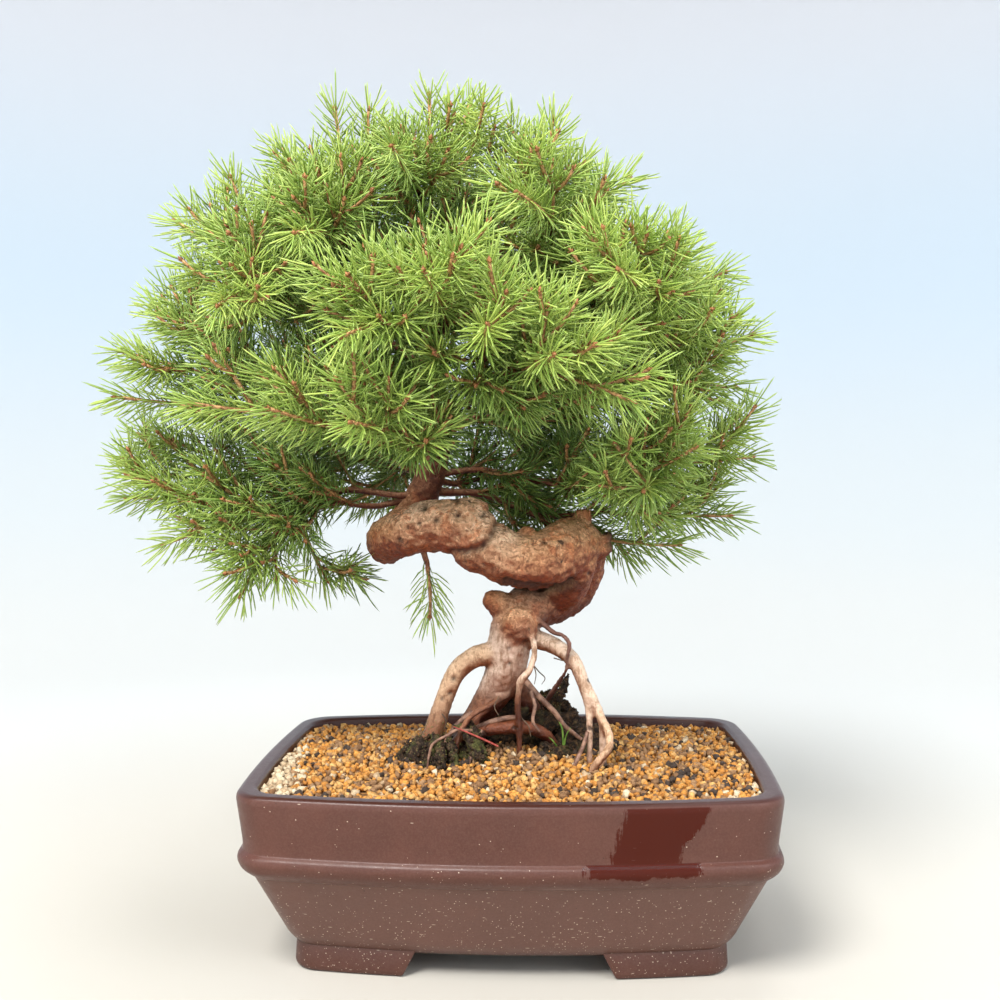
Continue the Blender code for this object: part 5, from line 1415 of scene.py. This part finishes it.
# Where side shoots may start and how far apart they are tried, how long they grow, mm, and how far they stay
# within the leading shoot's own tip
LEADER_RUNS, LEADER_LENGTHS, LEADER_INSET = (5, 6), (19, 30), 0.02
WOOD_RUNS, WOOD_LENGTHS, WOOD_INSET = (18, 8), (24, 44), 0.09
TUFT_TAPER = 0.0016  # of the crown's depth, for each mm back from the leading shoot's tip
LEADER_SHOOTS = 5  # row of the leader's table above which it has shoots of its own
DIRECTIONS, SIDE_ANGLE = 6, (35, 60)
UPWARD = 0.20  # how far a side shoot turns up, as a share of its length
INWARD_LIMIT = -0.1
HOLLOW = 0.40  # of the crown, where no side shoot ends
SIDE_SHOOTS = 430
TIP_SPACINGS, MIDDLE_SPACING = (27, 23, 20, 17.5, 15.5), 0.45  # mm between the side shoots, in rounds
# The smaller shoots of each side shoot: where they leave it, their angle and turn, and how long they grow, mm
SMALL_PLACES, SMALL_ANGLE, SMALL_TURN, SMALL_LENGTHS = (0.35, 0.8), (36, 56), 50, (13, 21)
SPARSE_BOUGHS, SPARSE_SPACING, SPARSE_NEEDLES = range(1, 6), 0.86, 0.85
LOWEST_NEEDLES, COIL_CLEARANCE = 137 * MM, 21 * MM
# In front of the coil and of the leader's foot nothing hangs, mm
BARE_WINDOWS = (((-76, -200, 0), (54, 22, 209)), ((-66, -200, 190), (-27, 20, 230)))
# The bough that hangs from the coil's left turn: how many shoots it has, where the first and each next one
# leave it as shares of its length, and their lean and length in degrees and mm
HANGING_BOUGH, HANGING_SHOOTS, HANGING_RUN, HANGING_LEAN, HANGING_LENGTH = 6, 6, (0.15, 0.12), 50, 14
LENGTH_TRIES = (1, 0.8, 0.6)
# Painted light: needles are brighter far out and high up, where they are also young, and darker deep inside as
# painted shade; each shoot and each needle a little more or less so
SUNNY_DEPTH, SUNNY_FROM, SUNNY_RISE, SUNNY_GAIN = (0.30, 0.88), 180 * MM, 120 * MM, 0.2
SHOOT_LIGHT, NEEDLE_LIGHT, OLD_WOOD_LIGHT = (-0.38, 0.10), 0.08, 0.4


def needle_green():
    """Needles: tint's red is how young one is and how much painted light it has, green its own random tone, blue the
    place along it.
    """
    made, tree, shader, place = finish("spruce needles", 0.42)
    tint = node(tree, "SeparateColor", {0: node(tree, "Attribute", {}, attribute_name="tint")})
    own, along = tint.node.outputs[1], tint.node.outputs[2]
    colour = mixed(tree, tint, mixed(tree, own, SHADED_OLD_NEEDLE, SHADED_OLD_PALE), mixed(tree, own, LIT_YOUNG_NEEDLE, LIT_YOUNG_PALE))
    colour = mixed(tree, ramp(tree, along, 0.75, 1.0, 0, 0.35), colour, NEEDLE_TIP)
    colour = mixed(tree, ramp(tree, along, 0.25, 0.0, 0, 0.45), colour, NEEDLE_FOOT)
    tree.links.new(colour, shader.inputs["Base Color"])
    shader.inputs["Specular IOR Level"].default_value = 0.4
    return made


foliage_looks = [needle_green(),
                 plain_growth("young twigs", (0.27, 0.10, 0.032), (0.66, 0.37, 0.15), 0.55, 600, 0.35 * MM),
                 plain_growth("bud scales", (0.22, 0.07, 0.022), (0.50, 0.21, 0.075), 0.55, 600, 0.35 * MM)]
bud_pattern = spindle(5, (0.4,))
coil_samples = KDTree(len(main_tables[0]))
for number, row in enumerate(main_tables[0]):
    coil_samples.insert(at(row), number)
coil_samples.balance()


def depth_in_crown(point):
    """0 in the crown's middle, 1 on its rounded envelope."""
    off = point - CROWN_MIDDLE
    return math.sqrt(sum((off[axis] / CROWN_HALF[axis]) ** 2 for axis in range(3)))


def is_clear(path, limit):
    """Whether a shoot stays in the crown, above its underside and away from the bare coil."""
    for point in path[1:]:
        if depth_in_crown(point) > limit or point.z < LOWEST_NEEDLES:
            return False
        if coil_samples.find(point)[2] < COIL_CLEARANCE:
            return False
        for window in BARE_WINDOWS:
            low, high = (at(corner) for corner in window)
            if low.x < point.x < high.x and point.y < high.y and low.z < point.z < high.z:
                return False
    return True


def side_shoot(line, run, turn, lean, length, limit):
    """A shoot that leaves a branch at a run along it, or None where there is no room for it."""
    start = cut_path(line, run)[1][0]
    onward = (cut_path(line, run + FORK_STEP)[1][0] - start).normalized()
    level = onward.cross(UP) if abs(onward.z) < 0.9 else onward.cross(Vector((1, 0, 0)))
    sideways = Matrix.Rotation(math.radians(turn), 3, onward) @ level.normalized()
    away = onward * math.cos(math.radians(lean)) + sideways * math.sin(math.radians(lean))
    off = start + away * length * MM * 0.7 - CROWN_MIDDLE
    outward = Vector([off[axis] / CROWN_HALF[axis] ** 2 for axis in range(3)]).normalized()
    if away.dot(outward) < INWARD_LIMIT:
        return None
    for share in LENGTH_TRIES:
        reach = length * MM * share
        end = start + away * reach * 0.84 + onward * reach * 0.16 + UP * reach * UPWARD
        path = arch(start, start + away * reach / 2, end, 5)
        if depth_in_crown(end) > HOLLOW and is_clear(path, limit):
            return path
    return None


def possible_shoots(wood, leader, draw):
    """Side shoots that a bough could grow, all round its leading shoot and its older wood."""
    reach = depth_in_crown(leader[-1])
    found = []
    for line, (first, step), lengths, inset in ((leader, LEADER_RUNS, LEADER_LENGTHS, LEADER_INSET),
                                                (wood, WOOD_RUNS, WOOD_LENGTHS, WOOD_INSET)):
        length = path_length(line)
        for run in np.arange(first * MM, length - 4 * MM, step * MM):
            turn = draw.uniform(0, 360)
            back = TUFT_TAPER * (length - run) / MM if line is leader else 0
            for k in range(DIRECTIONS):
                found.append(side_shoot(line, run, turn + 360 * k / DIRECTIONS, draw.uniform(*SIDE_ANGLE),
                                        draw.uniform(*lengths), reach - inset - back))
    return [path for path in found if path]


def crown_shoots(draw):
    """The shoots of each bough: side shoots are taken where the widest gaps are, then get smaller ones."""
    kept = [[leader] for _, _, leader in boughs]
    options = []
    for number, (wood, _, leader) in enumerate(boughs):
        if number + 1 == HANGING_BOUGH:
            length = path_length(leader)
            for k in range(HANGING_SHOOTS):
                path = side_shoot(leader, length * (HANGING_RUN[0] + HANGING_RUN[1] * k), 180 * (k % 2),
                                  HANGING_LEAN, HANGING_LENGTH - k, 2)
                kept[number] += [path] if path else []
            continue
        if number + 1 == len(boughs):
            wood = [at(row) for row in LEADER[LEADER_SHOOTS:-1]] + wood
        options += [(number, path) for path in possible_shoots(wood, leader, draw)]
    options = [options[k] for k in draw.permutation(len(options))]
    along_leaders = [point for _, _, leader in boughs for point in leader]
    filled = len(along_leaders)
    taken = np.zeros((filled + 2 * SIDE_SHOOTS, 3))
    taken[:filled] = along_leaders
    left = SIDE_SHOOTS
    used = set()
    for spacing in TIP_SPACINGS:
        for k, (number, path) in enumerate(options):
            if k in used or not left:
                continue
            sparse = number + 1 in SPARSE_BOUGHS
            gap = spacing * MM * (SPARSE_SPACING if sparse else 1)
            tip, middle = np.array(path[-1]), np.array(path[len(path) // 2])
            if (np.linalg.norm(taken[:filled] - tip, axis=1).min() > gap
                    and np.linalg.norm(taken[:filled] - middle, axis=1).min() > gap * MIDDLE_SPACING):
                taken[filled], taken[filled + 1] = tip, middle
                filled += 2
                kept[number].append(path)
                used.add(k)
                left -= 1
                reach = depth_in_crown(boughs[number][2][-1]) - LEADER_INSET
                for small in range(2):
                    run = path_length(path) * draw.uniform(*SMALL_PLACES)
                    branch = side_shoot(path, run, 180 * small + draw.uniform(-SMALL_TURN, SMALL_TURN),
                                        draw.uniform(*SMALL_ANGLE), draw.uniform(*SMALL_LENGTHS), reach)
                    kept[number] += [branch] if branch else []
    return kept


def points_along(path, runs):
    """Places and directions at runs along a path."""
    corners = np.array(path)
    steps = np.linalg.norm(np.diff(corners, axis=0), axis=1)
    total = np.concatenate([[0], np.cumsum(steps)])
    places = np.column_stack([np.interp(runs, total, corners[:, axis]) for axis in range(3)])
    ahead = np.column_stack([np.interp(runs + 2 * MM, total, corners[:, axis]) for axis in range(3)])
    behind = np.column_stack([np.interp(runs - 2 * MM, total, corners[:, axis]) for axis in range(3)])
    ways = ahead - behind
    return places, ways / np.linalg.norm(ways, axis=1, keepdims=True)


def needles_round(path, per_mm, from_share, draw, shrink=1.0):
    """Roots, ways, lengths and bends of the needles round a shoot, set in a spiral."""
    length = path_length(path)
    runs = np.linspace(length * from_share, length, max(int(length * (1 - from_share) / MM * per_mm), 4))
    runs = runs + draw.uniform(-0.3, 0.3, len(runs)) * MM
    places, onward = points_along(path, np.clip(runs, 0, length))
    up = np.where(np.abs(onward[:, 2:]) < 0.95, np.array([[0, 0, 1.0]]), np.array([[1.0, 0, 0]]))
    level = np.cross(onward, up)
    level /= np.linalg.norm(level, axis=1, keepdims=True)
    turns = np.arange(len(runs)) * GOLDEN_TURN + draw.uniform(-0.3, 0.3, len(runs))
    outward = level * np.cos(turns)[:, None] + np.cross(level, onward) * np.sin(turns)[:, None]
    share = runs / length
    leans = np.interp(share, (0, 0.8, 1), NEEDLE_LEANS) + draw.normal(0, 7, len(runs))
    leans = np.radians(leans)[:, None]
    ways = onward * np.cos(leans) + outward * np.sin(leans)
    shorter = np.interp(share, (0, 0.15, 0.85, 1), (0.75, 1, 1, 0.85))
    lengths = draw.uniform(*NEEDLE_LENGTH, len(runs)) * MM * shorter * shrink
    bends = onward * (lengths * draw.uniform(*FORWARD_CURVE, len(runs)))[:, None]
    bends[:, 2] -= lengths * draw.uniform(*DROOP, len(runs)) * (1 - np.abs(ways[:, 2]) * 0.5)
    return places, ways, lengths, bends


def twig(path, radii, sides=3, steps=5):
    """Corners and triangles of a shoot's own twig, uneven where its needles stand on it."""
    length = path_length(path)
    runs = np.linspace(0, length, steps)
    places, onward = points_along(path, runs)
    up = np.array([[0, 0, 1.0]]) if abs(onward[0][2]) < 0.9 else np.array([[1.0, 0, 0]])
    level = np.cross(onward, up)
    level /= np.linalg.norm(level, axis=1, keepdims=True)
    other = np.cross(onward, level)
    turns = 2 * np.pi * np.arange(sides) / sides
    thick = np.linspace(*radii, steps) * MM * (1 + SHOOT_RIDGES * (-1) ** np.arange(steps))
    rings = (places[:, None] + thick[:, None, None] * (level[:, None] * np.cos(turns)[None, :, None]
                                                       + other[:, None] * np.sin(turns)[None, :, None]))
    corners = np.vstack([rings.reshape(-1, 3), places[:1], places[-1:] + onward[-1:] * 0.5 * MM])
    faces = []
    for ring in range(steps - 1):
        for k in range(sides):
            a, b = ring * sides + k, ring * sides + (k + 1) % sides
            faces += [(a, b, b + sides), (a, b + sides, a + sides)]
    last = (steps - 1) * sides
    faces += [((k + 1) % sides, k, len(corners) - 2) for k in range(sides)]
    faces += [(last + k, last + (k + 1) % sides, len(corners) - 1) for k in range(sides)]
    return corners, np.array(faces)


def bud_cluster(path, draw):
    """A larger end bud and two smaller ones beside it."""
    places, onward = points_along(path, np.array([path_length(path)]))
    tip, way = Vector(places[0]), Vector(onward[0])
    turns, spots = [], []
    for size, lean in BUDS:
        across = Matrix.Rotation(draw.uniform(0, math.pi), 3, way) @ way.orthogonal().normalized()
        pointing = Matrix.Rotation(math.radians(lean), 3, across) @ way
        turn = pointing.to_track_quat("Z", "Y").to_matrix() @ Matrix.Diagonal((1, 1, BUD_LENGTH))
        turns.append(np.array(turn) * size * MM)
        spots.append(np.array(tip - pointing * BUD_SEAT * MM * size))
    return copies(bud_pattern, np.array(turns), np.array(spots))


box_low, box_high = np.array(cad_box[0]), np.array(cad_box[1])
all_shoots = crown_shoots(np.random.default_rng(77))
for number, ((wood, _, _), shoots) in enumerate(zip(boughs, all_shoots), 1):
    draw = np.random.default_rng(900 + number)
    parts = []
    per_mm = NEEDLES_PER_MM * (SPARSE_NEEDLES if number in SPARSE_BOUGHS else 1)
    rows = [(path, per_mm, 0.03, 1.0) for path in shoots]
    rows.append((wood, OLD_NEEDLES_PER_MM, 0.55, 0.9))
    for path, per_mm, from_share, shrink in rows:
        reach = 0 if path is wood else depth_in_crown(path[-1])
        pattern = next(form for least, form in NEEDLE_FORMS if reach > least)
        width = NEEDLE_WIDTH * MM * (INNER_WIDTH if pattern is inner_needle else 1)
        roots, ways, lengths, bends = needles_round(path, per_mm, from_share, draw, shrink)
        corners, faces = blades(pattern, roots, ways, lengths, np.full(len(roots), width), bends, draw)
        out = np.array([depth_in_crown(Vector(root)) for root in roots])
        sunlit = np.clip((out - SUNNY_DEPTH[0]) / (SUNNY_DEPTH[1] - SUNNY_DEPTH[0]), 0, 1)
        sunlit *= 1 - SUNNY_GAIN + SUNNY_GAIN * np.clip((roots[:, 2] - SUNNY_FROM) / SUNNY_RISE, 0, 1)
        sunlit += draw.uniform(*SHOOT_LIGHT) + draw.normal(0, NEEDLE_LIGHT, len(roots))
        sunlit = np.clip(sunlit, 0.05, 1) * (OLD_WOOD_LIGHT if path is wood else 1)
        tints = np.empty((len(roots), len(pattern.vertices), 3))
        tints[..., 0] = sunlit[:, None]
        tints[..., 1] = draw.random(len(roots))[:, None]
        tints[..., 2] = [vertex.co.z for vertex in pattern.vertices]
        parts.append((corners, faces, 0, tints.reshape(-1, 3)))
    for path in shoots:
        for look, (corners, faces) in ((1, twig(path, SHOOT_RADIUS)), (2, bud_cluster(path, draw))):
            parts.append((corners, faces, look, np.full((len(corners), 3), 0.5)))
    inside = [(np.clip(corners, box_low, box_high), *rest) for corners, *rest in parts]
    spray = joined_mesh(f"needle_bough_{number:02d}", inside, foliage_looks)
    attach(spray, "root")
    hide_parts(f"spray_{number:02d}")


# Floor, light and camera
# A plain pale studio: a floor that turns up into a wall all round in one sweep, cream below and pale blue
# above, a large soft light from the upper left in front, and a weaker one from the right.

FLOOR_RADIUS, WALL_HEIGHT, WALL_FLARE, SWEEP = 1.6, 2.6, 1.15, 0.9
FLOOR_CREAM, FLOOR_GREY = (0.53, 0.50, 0.445), (0.633, 0.637, 0.616)
LOW_GREY, WALL_BLUE, HIGH_GREY = (0.60, 0.635, 0.645), (0.535, 0.62, 0.695), (0.64, 0.645, 0.675)
bpy.ops.mesh.primitive_circle_add(vertices=96, radius=FLOOR_RADIUS, fill_type="NGON")
studio = bpy.context.object
studio.name = "studio_floor"
in_edit_mode(("EDGE", lambda edge: True),
             lambda: bpy.ops.mesh.extrude_region_move(TRANSFORM_OT_translate={"value": (0, 0, WALL_HEIGHT)}),
             lambda: bpy.ops.transform.resize(value=(WALL_FLARE, WALL_FLARE, 1), center_override=(0, 0, 0)))
in_edit_mode(("EDGE", lambda edge: all(studio.data.vertices[k].co.z < 0.01 for k in edge.vertices)),
             lambda: bpy.ops.mesh.bevel(offset=SWEEP, segments=16))
studio.data.shade_smooth()


def studio_paint():
    """Plain paint: cream near the pot, greyer further off, and pale blue up the wall."""
    made, tree, shader, place = finish("studio paint", 0.9)
    height = node(tree, "SeparateXYZ", {0: place}, "Z")
    lifted = swayed(tree, height, noise(tree, place, 3, 2), 0.06)
    away = node(tree, "VectorMath", {0: place}, "Value", operation="LENGTH")
    colour = mixed(tree, ramp(tree, away, 0.15, 0.65), FLOOR_CREAM, FLOOR_GREY)
    colour = mixed(tree, ramp(tree, lifted, 0.03, 0.20), colour, LOW_GREY)
    colour = mixed(tree, ramp(tree, lifted, 0.15, 0.55), colour, WALL_BLUE)
    colour = mixed(tree, ramp(tree, lifted, 0.55, 1.15), colour, HIGH_GREY)
    tree.links.new(colour, shader.inputs["Base Color"])
    return made


studio.data.materials.append(studio_paint())


def soft_light(name, place, aim, size, power, colour):
    lamp = bpy.data.lights.new(name, "AREA")
    lamp.shape = "DISK"
    lamp.size = size
    lamp.energy = power
    lamp.color = colour
    made = bpy.data.objects.new(name, lamp)
    bpy.context.scene.collection.objects.link(made)
    made.location = place
    made.rotation_euler = (Vector(aim) - Vector(place)).to_track_quat("-Z", "Y").to_euler()


AIM = (0, 0, 0.2)
soft_light("key_light", (-0.45, -0.95, 1.35), AIM, 0.7, 39, (1.0, 0.985, 0.955))
soft_light("fill_light", (1.1, -0.8, 0.9), AIM, 1.0, 11, (0.95, 0.98, 1.0))
soft_light("top_light", (0.1, 0.3, 1.6), AIM, 1.0, 9, (0.98, 0.99, 1.0))
world = bpy.data.worlds.new("studio air")
world.use_nodes = True
world.node_tree.nodes["Background"].inputs["Color"].default_value = (0.92, 0.955, 0.99, 1)
world.node_tree.nodes["Background"].inputs["Strength"].default_value = 0.75
bpy.context.scene.world = world
bpy.context.scene.view_settings.view_transform = "Standard"

CAMERA_PLACE = Vector((19.9, -562.6, 226.2)) * MM + pot_middle
CAMERA_TURN, CAMERA_DIP, CAMERA_ROLL = 0.045, 0.038, -0.006
lens = bpy.data.cameras.new("camera")
lens.lens = 42.3
lens.sensor_width = 36
lens.clip_start = 0.02
camera = bpy.data.objects.new("camera", lens)
bpy.context.scene.collection.objects.link(camera)
camera.matrix_world = (Matrix.Translation(CAMERA_PLACE) @ Matrix.Rotation(CAMERA_TURN, 4, "Z")
                       @ Matrix.Rotation(math.pi / 2 - CAMERA_DIP, 4, "X")
                       @ Matrix.Rotation(CAMERA_ROLL, 4, "Z"))
bpy.context.scene.camera = camera

bpy.context.view_layer.update()
